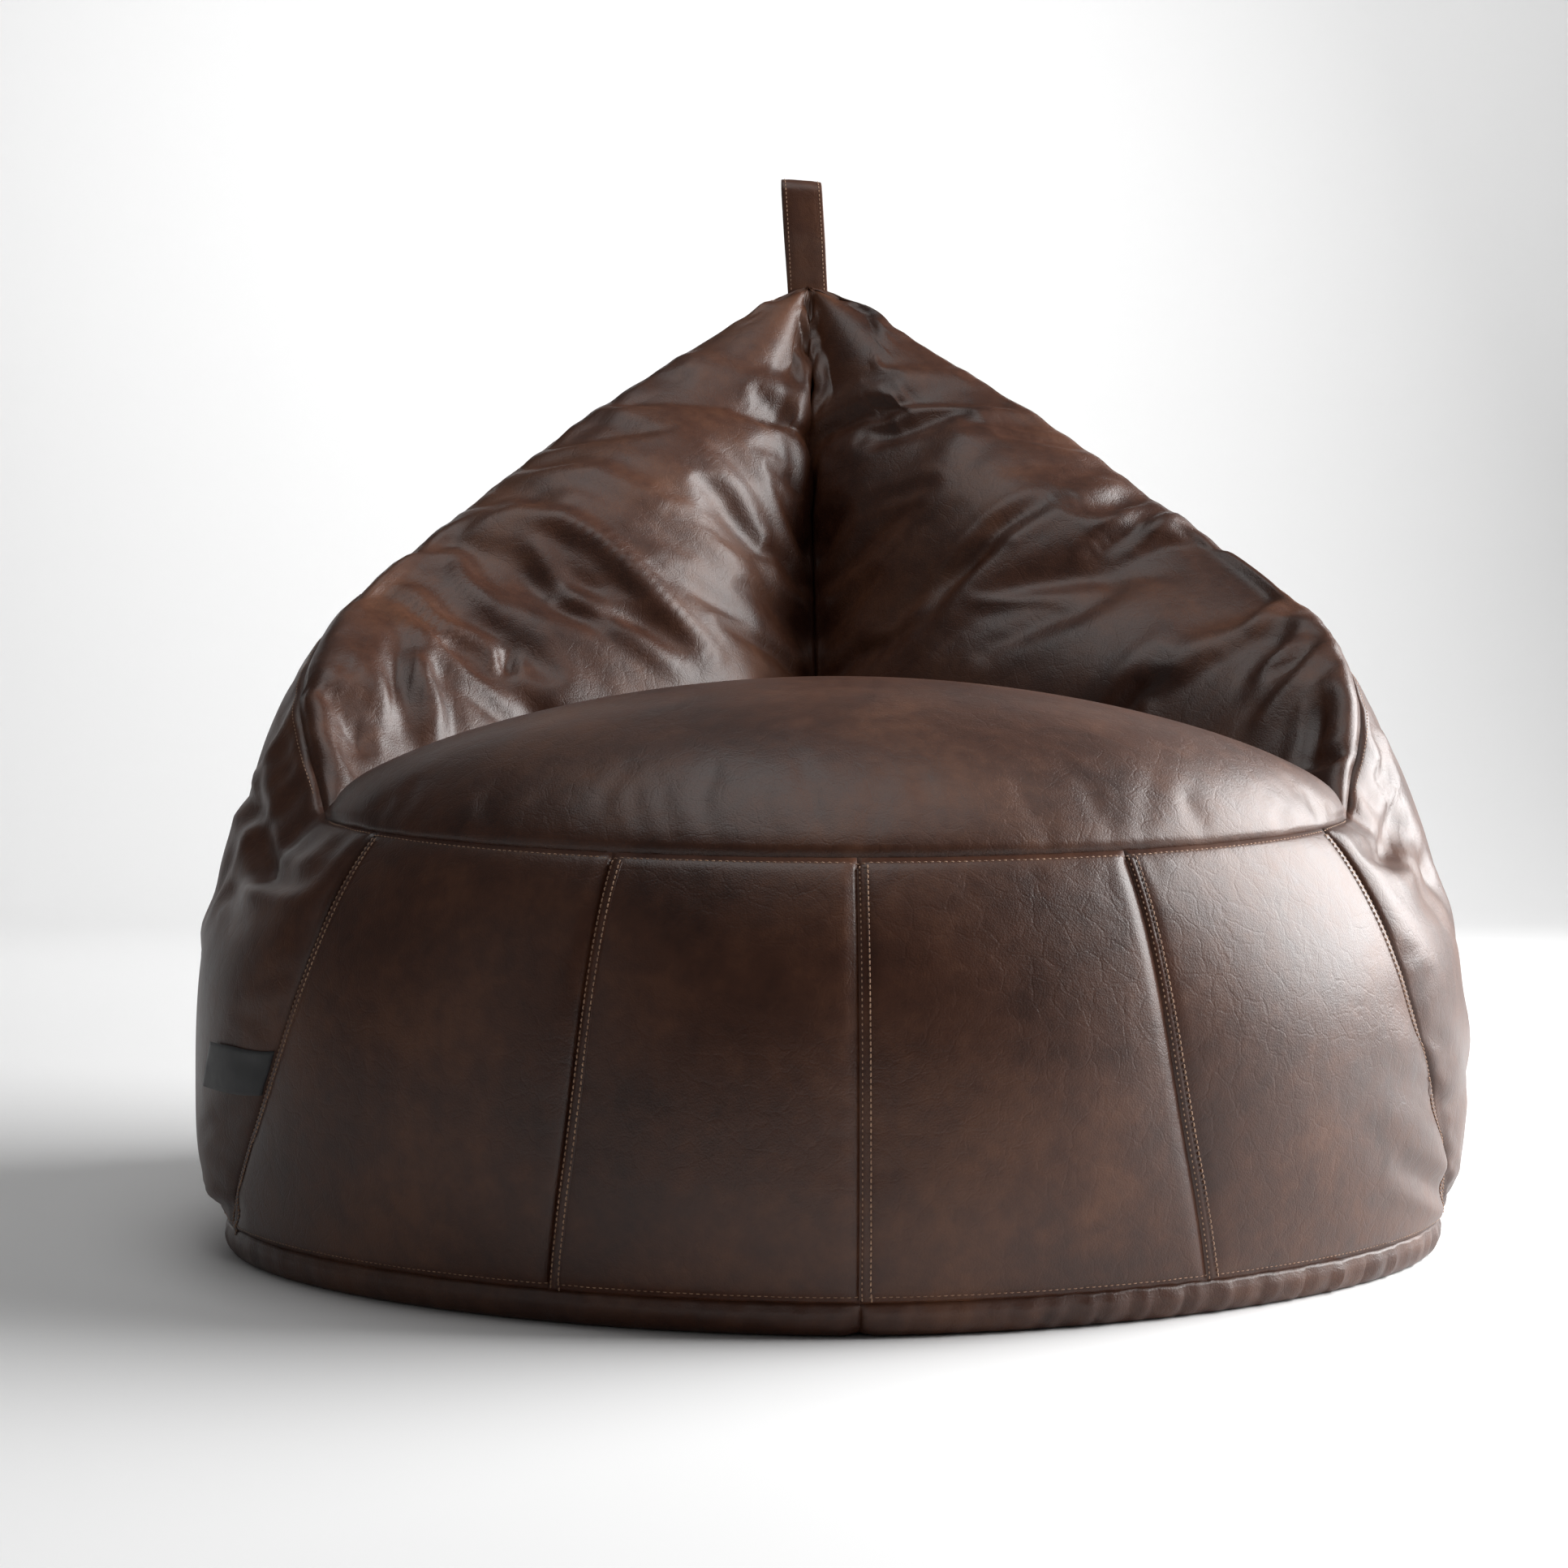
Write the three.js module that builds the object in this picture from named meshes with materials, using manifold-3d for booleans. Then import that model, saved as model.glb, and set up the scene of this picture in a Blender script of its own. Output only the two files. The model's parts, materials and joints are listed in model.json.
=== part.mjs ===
// Bean bag chair: a sewn leather cover of eleven panels around a lined bag of beads, with a carry
// handle on the peak, a care label in a front seam and a zip up the back.
//
// Millimetres, +Z up. The origin is on the floor under the middle of the chair. The front faces -Y,
// and +X is on the right of somebody who faces the chair.

import Module from 'manifold-3d';
import * as THREE from 'three';
import { mergeVertices } from 'three/addons/utils/BufferGeometryUtils.js';

const { lerp, degToRad, radToDeg, smoothstep } = THREE.MathUtils;
const wasm = await Module();
wasm.setup();

// ---------------------------------------------------------------------------------------------
// Driving dimensions

const width = 800; // across the sides at their fullest
const depth = 850; // from the front to the zip slider at the back
const height = 780; // from the floor to the top of the carry handle

const clearance = 0.3; // between pieces that touch

// The body's outline, as heights above the floor and distances in from the fullest outline.
const handleRise = 84; // how far the carry handle stands above the peak
const widestHeight = 90;
const widestSetback = 325; // from the front to the line where the chair is widest
const hemHeight = 20;
const hemInset = 8;
const hemSideInset = 5;
const footInset = 22; // the outline that stands on the floor
const footSideInset = 14;
const frontRoundness = 1.75; // superellipse powers of the outline
const backRoundness = 2.4;

// The seat.
const seatFrontInset = 40; // the seat's front seam, in from the fullest outline
const seatSideInset = 70;
const seatFrontHeight = 262;
const armTipHeight = 281; // where the seat seam meets the ridge seam
const armTipAngle = 81; // round the outline, from the front
const creaseHeight = 250; // the lowest point, where the seat meets the backrest
const creaseReach = 280; // how far the crease runs back from the arm tips
const seatCrown = 108; // the seat's dome above its seams

// The backrest.
const peakInset = 41; // the peak, in from the back
const valleySag = 25; // how far the centre valley falls behind a straight line
const lobeCrown = 58;
const straightPastZip = 5; // the back stays straight this far above the zip

// The cover's sewn sheets and what lies inside it.
const coverThickness = 2;
const seamGap = 0.8; // between two panels along their seam
const sharpCorner = 60; // degrees
const panelPuff = 5; // a front panel's swell between its seams
const linerThickness = 0.8;
const linerMouth = 4;
const linerDepth = coverThickness + 1;
const fillingDepth = linerDepth + linerThickness + 0.8;
const peakRoom = { back: 4, down: 16 }; // the bag's own corner stops short of the sharp peak
const pocketReach = 45; // the bag's pocket behind the zip runs this far past the zip's ends

// The front's seams on each side, as angles round the outline at the seat seam and at the hem.
const frontSeams = {
  left: { inner: { top: 27.7, hem: 32.3 }, outer: { top: 61.8, hem: 80.9 } },
  right: { inner: { top: 31.3, hem: 38.1 }, outer: { top: 65.4, hem: 85.6 } },
};

// The zip.
const zipFoot = 140; // the bottom of its slot, above the floor
const zipLength = 220;
const zipSlot = 10;
const chainGap = 1.6; // between the two halves of the coil
const coilWidth = 2.6;
const coilThickness = 2;
const tapeWidth = 8;
const tapeThickness = 0.7;
const stopLength = 4;
const slider = { width: 8.4, length: 12, outerPlate: 1.6, innerPlate: 0.7, bridge: 1, bridgeLength: 3 };
const bail = { width: 2.2, length: 7, post: 1.2, beam: 1, opening: 2.65 };
const pull = { width: 7, length: 30, thickness: 1.2, bar: 1.5, window: 7, windowWidth: 3.6 };

// The carry handle: a folded strap, sewn together at its root.
const strapWidth = 32;
const strapThickness = 4;
const loopSpread = 30; // across the loop, front strap to back strap
const rootLength = 14; // where both ends are sewn together

// The care label.
const label = { length: 66, height: 33, thickness: 0.8, middleHeight: 125 };

// How finely the cover's surface is divided.
const frontColumns = 5;
const tipColumns = 2;
const ridgeColumns = 11;
const wallRows = 8;
const seatRows = 7;

// ---------------------------------------------------------------------------------------------
// Sizes worked out from the driving dimensions

const bailStandOff = bail.beam + bail.opening - clearance;
const backPlane = depth / 2 - bailStandOff;
const peakHeight = height - handleRise;
const middle = new THREE.Vector2(0, -depth / 2 + widestSetback); // the outline's centre
const frontReach = widestSetback;
const backReach = backPlane - middle.y;

const tapeDepth = coverThickness + 0.8;
const coilDepth = tapeDepth + tapeThickness / 2 - coilThickness / 2;
const innerPlateDepth = coilDepth + coilThickness + clearance;
const pocketDepth = innerPlateDepth + slider.innerPlate + 0.8;
const zipPocket = pocketDepth - linerDepth;
const zipTop = zipFoot + zipLength;

const sides = { left: -1, right: 1 };

// A point on the outline, at an angle from the front, moved in by two insets.
function outline(angle, z, frontInset = 0, sideInset = frontInset, power = 0) {
  const turn = degToRad(angle);
  const atFront = angle < 90;
  const roundness = power || (atFront ? frontRoundness : backRoundness);
  const along = (atFront ? frontReach : backReach) - frontInset;
  const across = width / 2 - sideInset;
  const sum = (Math.sin(turn) / across) ** roundness + (Math.abs(Math.cos(turn)) / along) ** roundness;
  const radius = sum ** (-1 / roundness);
  return new THREE.Vector3(radius * Math.sin(turn), middle.y - radius * Math.cos(turn), z);
}

// ---------------------------------------------------------------------------------------------
// Seam lines. Each is worked out for the right-hand side and mirrored for the left.

function seatFrontSeam(angle) {
  const z = lerp(seatFrontHeight, armTipHeight, (angle / armTipAngle) ** 2);
  return outline(angle, z, seatFrontInset, seatSideInset, 2);
}

const armTip = seatFrontSeam(armTipAngle);
const peak = new THREE.Vector3(0, backPlane - peakInset, peakHeight);

// The ridge climbs from the arm tip over the arm to the peak, as shares of the way across, back and up.
const ridgeShape = [
  [1, 0, 0],
  [1.07, 0.16, 0.17],
  [1.03, 0.35, 0.31],
  [0.87, 0.53, 0.46],
  [0.51, 0.78, 0.72],
  [0, 1, 1],
];
const ridge = new THREE.CatmullRomCurve3(ridgeShape.map(([across, back, up]) => new THREE.Vector3(
  across * armTip.x,
  lerp(armTip.y, peak.y, back),
  lerp(armTip.z, peak.z, up),
)));

// The crease between seat and backrest. A share of 0 is its middle, and 1 is the arm tip.
function seatCrease(share) {
  return new THREE.Vector3(
    armTip.x * share,
    armTip.y + creaseReach * (1 - Math.abs(share) ** 1.6),
    lerp(creaseHeight, armTipHeight, share ** 2),
  );
}

// The valley between the two halves of the backrest, from the crease to the peak.
function backValley(climb) {
  const foot = seatCrease(0);
  const run = new THREE.Vector3().subVectors(peak, foot);
  const behind = new THREE.Vector3(0, run.z, -run.y).setLength(valleySag * Math.sin(Math.PI * climb));
  return foot.addScaledVector(run, climb).add(behind);
}

// ---------------------------------------------------------------------------------------------
// Panel surfaces

const steps = (count) => Array.from({ length: count + 1 }, (_, step) => step / count);

// Seam to seam round the wall, from the front centre to the back centre: the columns of each panel.
function wallPanels(side) {
  const { inner, outer } = frontSeams[side];
  const front = { top: 0, hem: 0 };
  const tip = { top: armTipAngle, hem: 90 };
  const between = (from, to, count, puff) => steps(count).map((share) => {
    const topAngle = lerp(from.top, to.top, share);
    const hemAngle = lerp(from.hem, to.hem, share);
    return { hemAngle, topAngle, top: seatFrontSeam(topAngle), puff: puff * Math.sin(Math.PI * share) };
  });
  const alongRidge = steps(ridgeColumns).map((climb) => {
    const top = ridge.getPointAt(climb);
    const topAngle = radToDeg(Math.atan2(top.x, middle.y - top.y));
    const hemAngle = lerp(tip.hem, 180, (topAngle - armTipAngle) / (180 - armTipAngle));
    return { hemAngle, topAngle, top, puff: 0 };
  });
  return {
    inner: between(front, inner, frontColumns, panelPuff),
    outer: between(inner, outer, frontColumns, panelPuff),
    tip: between(outer, tip, tipColumns, 0),
    ridge: alongRidge,
  };
}

// The wall rises from the hem, swells to its widest and leans in to the seam at its top.
function wallPoint({ hemAngle, topAngle, top, puff }, climb) {
  const up = climb ** 1.3;
  const z = lerp(hemHeight, top.z, up);
  const angle = lerp(hemAngle, topAngle, 1 - (1 - up) ** 2);
  const widest = outline(angle, z);
  const turn = degToRad(angle);
  widest.x += puff * Math.sin(turn) * Math.sin(Math.PI * climb);
  widest.y -= puff * Math.cos(turn) * Math.sin(Math.PI * climb);
  if (z < widestHeight) {
    const drop = (widestHeight - z) / (widestHeight - hemHeight);
    return widest.lerp(outline(angle, z, hemInset, hemSideInset), drop ** 2);
  }
  const straight = (zipTop + straightPastZip - widestHeight) / (peakHeight - widestHeight);
  const kept = straight * smoothstep(hemAngle, 140, 172);
  const rise = (z - widestHeight) / (top.z - widestHeight);
  return widest.lerp(top, Math.max(0, (rise - kept) / (1 - kept)) ** 3.4).setZ(z);
}

function seatPoint(share, back) {
  const dome = seatCrown * Math.cos(degToRad(90 * share)) ** 0.8 * Math.sin(Math.PI * back) ** 0.7;
  const point = seatFrontSeam(share * armTipAngle).lerp(seatCrease(share), back);
  return point.setZ(point.z + dome);
}

// A backrest half before it swells: a surface stretched between valley, ridge and crease.
function backChord(across, climb) {
  const point = backValley(climb).lerp(ridge.getPointAt(climb), across);
  const straightFoot = seatCrease(0).lerp(seatCrease(1), across);
  return point.addScaledVector(seatCrease(across).sub(straightFoot), 1 - climb);
}

function backPoint(across, climb) {
  const step = 0.01;
  const point = backChord(across, climb);
  const sideways = backChord(Math.min(across + step, 1), climb).sub(backChord(across - step, climb));
  const upwards = backChord(across, Math.min(climb + step, 1)).sub(backChord(across, Math.max(climb - step, 0)));
  const swell = lobeCrown * Math.sin(Math.PI * across) ** 0.66 * Math.sin(Math.PI * climb ** 0.8) ** 0.8;
  return point.addScaledVector(sideways.cross(upwards).normalize(), swell);
}

// The base turns under from the hem to the floor and lies flat from there to its centre seam.
function basePoint({ hemAngle }, row, alongCentre) {
  const curl = [
    () => new THREE.Vector3(0, lerp(outline(0, 0, footInset).y, outline(180, 0, footInset).y, alongCentre), 0),
    () => outline(hemAngle, 0, footInset, footSideInset),
    () => outline(
      hemAngle,
      hemHeight * 0.3,
      lerp(hemInset, footInset, 0.4),
      lerp(hemSideInset, footSideInset, 0.4),
    ),
    () => outline(hemAngle, hemHeight, hemInset, hemSideInset),
  ];
  return curl[row]();
}

// ---------------------------------------------------------------------------------------------
// The skin: every panel's surface in one mesh that shares its points along the seams

const skin = { points: [], panels: {} };

function pointIndex(point) {
  const found = skin.points.findIndex((known) => known.distanceToSquared(point) < 1e-4);
  return found < 0 ? skin.points.push(point) - 1 : found;
}

// Adds a grid of points to a panel. pointAt is for the right-hand side; the left is its mirror image.
function addPatch(panel, side, columns, rows, pointAt) {
  const grid = columns.map((column, i) => rows.map((row) => {
    const point = pointAt(column, row, i);
    point.x *= sides[side];
    return pointIndex(point);
  }));
  const triangles = (skin.panels[panel] ??= []);
  for (let i = 0; i + 1 < columns.length; i += 1) {
    for (let j = 0; j + 1 < rows.length; j += 1) {
      const [a, b, c, d] = [grid[i][j], grid[i + 1][j], grid[i + 1][j + 1], grid[i][j + 1]];
      triangles.push(...[[a, b, c], [a, c, d]]
        .filter(([p, q, r]) => p !== q && q !== r && r !== p)
        .map(([p, q, r]) => (side === 'left' ? [p, r, q] : [p, q, r])));
    }
  }
}

for (const side of Object.keys(sides)) {
  const wall = wallPanels(side);
  addPatch(`front_panel_${side}`, side, wall.inner, steps(wallRows), wallPoint);
  addPatch(`front_panel_far_${side}`, side, wall.outer, steps(wallRows), wallPoint);
  addPatch(`outer_panel_${side}`, side, wall.tip, steps(wallRows), wallPoint);
  addPatch(`outer_panel_${side}`, side, wall.ridge, steps(wallRows), wallPoint);

  const frontColumnsOfSide = [...wall.inner, ...wall.outer.slice(1), ...wall.tip.slice(1)];
  const seatColumns = frontColumnsOfSide.map(({ topAngle }) => topAngle / armTipAngle);
  addPatch('seat_panel', side, seatColumns, steps(seatRows), seatPoint);
  addPatch(`backrest_panel_${side}`, side, seatColumns, steps(ridgeColumns), backPoint);

  const around = [...frontColumnsOfSide, ...wall.ridge.slice(1)];
  addPatch(`base_panel_${side}`, side, around, [0, 1, 2, 3], (column, row, i) => (
    basePoint(column, row, i / (around.length - 1))
  ));
}

const allTriangles = Object.values(skin.panels).flat();

// The facing of every point on one panel.
function panelNormals(triangles) {
  const facings = new Map();
  for (const corners of triangles) {
    const [a, b, c] = corners.map((corner) => skin.points[corner]);
    const facing = b.clone().sub(a).cross(c.clone().sub(a));
    for (const corner of corners) {
      facings.set(corner, (facings.get(corner) ?? new THREE.Vector3()).add(facing));
    }
  }
  return facings;
}

// On a seam the skin faces midway between its panels.
const normals = skin.points.map(() => new THREE.Vector3());
for (const triangles of Object.values(skin.panels)) {
  panelNormals(triangles).forEach((facing, corner) => normals[corner].add(facing.normalize()));
}
normals.forEach((normal) => normal.normalize());

// ---------------------------------------------------------------------------------------------
// Solids from the skin

function meshGeometry(points, triangles) {
  const geometry = new THREE.BufferGeometry();
  geometry.setAttribute('position', new THREE.Float32BufferAttribute(points.flatMap((p) => p.toArray()), 3));
  geometry.setIndex(triangles.flat());
  return geometry;
}

// The skin moved inwards by a depth, as points for every index.
const inset = (points, sunk) => points.map((point, i) => point.clone().addScaledVector(normals[i], -sunk));

// The edges that belong to one triangle only, in that triangle's direction, with the way into the panel.
function borderEdges(triangles) {
  const edges = new Map();
  for (const [a, b, c] of triangles) {
    for (const [from, to, other] of [[a, b, c], [b, c, a], [c, a, b]]) {
      edges.set(`${from},${to}`, { from, to, other });
    }
  }
  return [...edges.values()].filter(({ from, to }) => !edges.has(`${to},${from}`)).map(({ from, to, other }) => {
    const along = skin.points[to].clone().sub(skin.points[from]).normalize();
    const inwards = skin.points[other].clone().sub(skin.points[from]);
    inwards.addScaledVector(along, -inwards.dot(along)).normalize();
    return { from, to, other, along, inwards };
  });
}

// The skin's points, with those on a panel's border drawn back into it by half the seam gap. A sharp
// corner is blunted: it's drawn back further, towards the panel's middle.
function drawnBack(border) {
  const points = skin.points.map((point) => point.clone());
  const arriving = new Map(border.map((edge) => [edge.to, edge]));
  for (const { from, other, along, inwards } of border) {
    const before = arriving.get(from);
    if (radToDeg(before.along.angleTo(along)) > 180 - sharpCorner) {
      const within = skin.points[other].clone().lerp(skin.points[before.other], 0.5).sub(skin.points[from]);
      points[from].addScaledVector(within.normalize(), 3 * seamGap);
    } else {
      const mitre = 1 + before.inwards.dot(inwards);
      points[from].addScaledVector(inwards.clone().add(before.inwards), seamGap / 2 / mitre);
    }
  }
  return points;
}

// One sewn panel: its outer face, its inner face and the cut edge between them.
function panelGeometry(name) {
  const triangles = skin.panels[name];
  const border = borderEdges(triangles);
  const outside = drawnBack(border);
  const count = outside.length;
  const inner = triangles.map(([a, b, c]) => [a + count, c + count, b + count]);
  const rim = border.flatMap(({ from, to }) => [[to, from, from + count], [to, from + count, to + count]]);
  const used = compact([...outside, ...inset(outside, coverThickness)], [...triangles, ...inner, ...rim]);
  return meshGeometry(used.points, used.triangles);
}

// Drops the points that no triangle uses.
function compact(points, triangles) {
  const order = [...new Set(triangles.flat())];
  const place = new Map(order.map((old, now) => [old, now]));
  return {
    points: order.map((old) => points[old]),
    triangles: triangles.map((triangle) => triangle.map((corner) => place.get(corner))),
  };
}

// The bag inside follows the cover. It lies deeper behind the zip, to leave room for the slider, and
// stops short of the peak.
function bagPoints(sunk) {
  return inset(skin.points, sunk).map((point, i) => {
    const { x, y, z } = skin.points[i];
    const atBackSeam = Math.abs(x) < 1 && y > backPlane - 1;
    const behindZip = atBackSeam && z > zipFoot - pocketReach && z < zipTop + pocketReach;
    const atPeak = z > peakHeight - 1;
    return point.add(new THREE.Vector3(
      0,
      (behindZip ? -zipPocket : 0) + (atPeak ? peakRoom.back : 0),
      atPeak ? -peakRoom.down : 0,
    ));
  });
}

const fillingGeometry = () => meshGeometry(bagPoints(fillingDepth), allTriangles);

// The liner is one thin sheet all the way round. The mouth cut in it later joins its two faces.
function linerSheet() {
  const count = skin.points.length;
  const inner = allTriangles.map(([a, b, c]) => [a + count, c + count, b + count]);
  const points = [...bagPoints(linerDepth), ...bagPoints(linerDepth + linerThickness)];
  return meshGeometry(points, [...allTriangles, ...inner]);
}

// ---------------------------------------------------------------------------------------------
// Joining and cutting

function toSolid(geometry) {
  const bare = geometry.clone();
  bare.deleteAttribute('normal');
  bare.deleteAttribute('uv');
  const merged = mergeVertices(bare, 1e-4);
  return new wasm.Manifold(new wasm.Mesh({
    numProp: 3,
    vertProperties: new Float32Array(merged.attributes.position.array),
    triVerts: new Uint32Array(merged.index.array),
  }));
}

function fromSolid(solid) {
  const { vertProperties, triVerts } = solid.getMesh();
  const geometry = new THREE.BufferGeometry();
  geometry.setAttribute('position', new THREE.BufferAttribute(vertProperties, 3));
  geometry.setIndex(new THREE.BufferAttribute(triVerts, 1));
  return geometry;
}

const cut = (geometry, ...tools) => fromSolid(tools.reduce((rest, tool) => rest.subtract(toSolid(tool)), toSolid(geometry)));
const join = (...geometries) => fromSolid(geometries.map(toSolid).reduce((whole, piece) => whole.add(piece)));

// A box from its lowest and highest corners.
function box([x0, y0, z0], [x1, y1, z1]) {
  const geometry = new THREE.BoxGeometry(x1 - x0, y1 - y0, z1 - z0);
  return geometry.translate((x0 + x1) / 2, (y0 + y1) / 2, (z0 + z1) / 2);
}

// A box on the back of the chair, between two depths below the cover's surface.
const backBox = (x0, x1, shallow, deep, z0, z1) => box([x0, backPlane - deep, z0], [x1, backPlane - shallow, z1]);

// ---------------------------------------------------------------------------------------------
// The zip

const chainEnd = chainGap / 2 + coilWidth;
const slotBox = () => backBox(-zipSlot / 2, zipSlot / 2, -5, tapeDepth - clearance, zipFoot, zipTop);
const chainFoot = zipFoot + stopLength + 2 * clearance;
const chainTop = zipTop - stopLength - 2 * clearance;

function outerPanel(side) {
  return cut(panelGeometry(`outer_panel_${side}`), slotBox());
}

function zipTape(side) {
  const near = sides[side] * (chainEnd + clearance);
  const far = near + sides[side] * tapeWidth;
  const [x0, x1] = [Math.min(near, far), Math.max(near, far)];
  return backBox(x0, x1, tapeDepth, tapeDepth + tapeThickness, zipFoot - stopLength, zipTop + stopLength);
}

function zipCoil(side) {
  const [x0, x1] = [chainGap / 2, chainEnd].map((x) => sides[side] * x).sort((a, b) => a - b);
  return backBox(x0, x1, coilDepth, coilDepth + coilThickness, chainFoot, chainTop);
}

function zipStop(z) {
  return backBox(-chainEnd, chainEnd, coilDepth - 0.5, coilDepth + coilThickness, z, z + stopLength);
}

// The slider is parked at the top of the closed zip. Its plates lie outside and inside the coil.
const sliderTop = chainTop - clearance;
const sliderFoot = sliderTop - slider.length;
const bailMiddle = (sliderTop + sliderFoot) / 2;
const plateFace = coilDepth - clearance - slider.outerPlate; // depth of the outer plate's face

function zipSlider() {
  const half = slider.width / 2;
  const outer = backBox(-half, half, plateFace, coilDepth - clearance, sliderFoot, sliderTop);
  const innerEnd = innerPlateDepth + slider.innerPlate;
  const inner = backBox(-half, half, innerPlateDepth, innerEnd, sliderFoot, sliderTop);
  const bridgeFoot = sliderTop - slider.bridgeLength;
  const bridge = backBox(-slider.bridge / 2, slider.bridge / 2, plateFace + 0.5, innerEnd - 0.2, bridgeFoot, sliderTop);
  const [bailFoot, bailTop] = [bailMiddle - bail.length / 2, bailMiddle + bail.length / 2];
  const bailFace = plateFace - bail.opening - bail.beam;
  const arch = backBox(-bail.width / 2, bail.width / 2, bailFace, plateFace + 0.5, bailFoot, bailTop);
  const hole = backBox(-bail.width, bail.width, plateFace - bail.opening, plateFace, bailFoot + bail.post, bailTop - bail.post);
  return join(outer, inner, bridge, cut(arch, hole));
}

// The pull hangs from a bar that passes under the bail.
const pullAxisDepth = plateFace - bail.opening / 2;
function zipPull() {
  const [shallow, deep] = [pullAxisDepth - pull.thickness / 2, pullAxisDepth + pull.thickness / 2];
  const top = bailMiddle + pull.bar / 2;
  const plate = backBox(-pull.width / 2, pull.width / 2, shallow, deep, top - pull.length, top);
  const windowTop = bailMiddle - pull.bar / 2;
  const half = pull.windowWidth / 2;
  return cut(plate, backBox(-half, half, shallow - 1, deep + 1, windowTop - pull.window, windowTop));
}

// The liner's mouth is behind the zip, and a strip closes it.
const mouth = { foot: zipFoot + 10, top: zipTop - 10 };
function innerLiner() {
  const opening = backBox(-linerMouth / 2, linerMouth / 2, pocketDepth - 1, pocketDepth + 1.1, mouth.foot, mouth.top);
  return cut(linerSheet(), opening);
}

function linerClosure() {
  const half = linerMouth / 2 - clearance;
  const [foot, top] = [mouth.foot + clearance, mouth.top - clearance];
  return backBox(-half, half, pocketDepth, pocketDepth + linerThickness, foot, top);
}

// ---------------------------------------------------------------------------------------------
// The carry handle: the loop's side outline, pushed across by the strap's width

const handleRoot = peakHeight + clearance + strapThickness; // the height it swings about

function handleLoop() {
  const [legs, spread, top] = [strapThickness, loopSpread / 2, height - handleRoot];
  const outer = new THREE.Shape();
  outer.absarc(0, 0, legs, Math.PI, 2 * Math.PI, false);
  outer.bezierCurveTo(legs, rootLength, spread, rootLength, spread, top - spread);
  outer.absarc(0, top - spread, spread, 0, Math.PI, false);
  outer.bezierCurveTo(-spread, rootLength, -legs, rootLength, -legs, 0);
  const inner = new THREE.Path();
  const reach = spread - strapThickness;
  inner.absarc(0, top - spread, reach, 0, Math.PI, false);
  inner.bezierCurveTo(-reach, rootLength + 10, 0, rootLength + 12, 0, rootLength);
  inner.bezierCurveTo(0, rootLength + 12, reach, rootLength + 10, reach, top - spread);
  outer.holes.push(inner);
  const geometry = new THREE.ExtrudeGeometry(outer, { depth: strapWidth, bevelEnabled: false, curveSegments: 8 });
  geometry.translate(0, 0, -strapWidth / 2);
  const [x, y, z] = [new THREE.Vector3(1, 0, 0), new THREE.Vector3(0, 1, 0), new THREE.Vector3(0, 0, 1)];
  return geometry.applyMatrix4(new THREE.Matrix4().makeBasis(y, z, x));
}

// ---------------------------------------------------------------------------------------------
// The care label, sewn into the outer front seam on the left, lies back over the outer panel.
// The seam leans, so the label is cut at a slant that keeps its free edges level.

function labelPlacement() {
  const [seam, behind] = wallPanels('left').tip;
  const climb = ((label.middleHeight - hemHeight) / (seam.top.z - hemHeight)) ** (1 / 1.3);
  const onLeft = (column, up) => wallPoint(column, up).multiply(new THREE.Vector3(-1, 1, 1));
  const [at, above, back] = [onLeft(seam, climb), onLeft(seam, climb + 0.1), onLeft(behind, climb)];
  const along = above.sub(at).normalize();
  const out = along.clone().cross(back.sub(at)).normalize();
  const near = skin.panels.outer_panel_left.flat().map((corner) => skin.points[corner].clone().sub(at));
  const square = out.clone().cross(along);
  const level = square.clone().addScaledVector(along, -square.z / along.z);
  const reach = level.length() * label.length;
  const proud = near.filter((way) => way.length() < reach).map((way) => way.dot(out));
  at.addScaledVector(out, Math.max(0, ...proud) + clearance);
  return { at, along, level, out };
}

function careLabel() {
  const { at, along, level, out } = labelPlacement();
  const sheet = box([-label.height / 2, clearance, 0], [label.height / 2, label.length, label.thickness]);
  return sheet.applyMatrix4(new THREE.Matrix4().makeBasis(along, level, out).setPosition(at));
}

// ---------------------------------------------------------------------------------------------
// The chair

const finishes = {
  leather: { color: 0x3a2119, roughness: 0.38, metalness: 0 },
  strap: { color: 0x3b241c, roughness: 0.45, metalness: 0 },
  label: { color: 0x101012, roughness: 0.5, metalness: 0 },
  tape: { color: 0x1c1412, roughness: 0.85, metalness: 0 },
  coil: { color: 0x17100e, roughness: 0.45, metalness: 0 },
  metal: { color: 0x8a7a5c, roughness: 0.35, metalness: 0.9 },
  liner: { color: 0xe9e6df, roughness: 0.9, metalness: 0 },
  beads: { color: 0xf4f3ef, roughness: 0.8, metalness: 0 },
};

const chair = new THREE.Group();

function add(name, finish, geometry) {
  const mesh = new THREE.Mesh(geometry, new THREE.MeshStandardMaterial(finishes[finish]));
  mesh.name = name;
  chair.add(mesh);
}

add('seat_panel', 'leather', panelGeometry('seat_panel'));
for (const side of Object.keys(sides)) {
  add(`backrest_panel_${side}`, 'leather', panelGeometry(`backrest_panel_${side}`));
  add(`front_panel_${side}`, 'leather', panelGeometry(`front_panel_${side}`));
  add(`front_panel_far_${side}`, 'leather', panelGeometry(`front_panel_far_${side}`));
  add(`outer_panel_${side}`, 'leather', outerPanel(side));
  add(`base_panel_${side}`, 'leather', panelGeometry(`base_panel_${side}`));
  add(`zip_tape_${side}`, 'tape', zipTape(side));
  add(`zip_coil_${side}`, 'coil', zipCoil(side));
}
add('zip_top_stop', 'metal', zipStop(chainTop + clearance));
add('zip_bottom_stop', 'metal', zipStop(zipFoot + clearance));
add('zip_slider', 'metal', zipSlider());
add('zip_pull', 'metal', zipPull());
add('carry_handle', 'strap', handleLoop().translate(0, peak.y, handleRoot));
add('care_label', 'label', careLabel());
add('inner_liner', 'liner', innerLiner());
add('liner_closure', 'liner', linerClosure());
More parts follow.
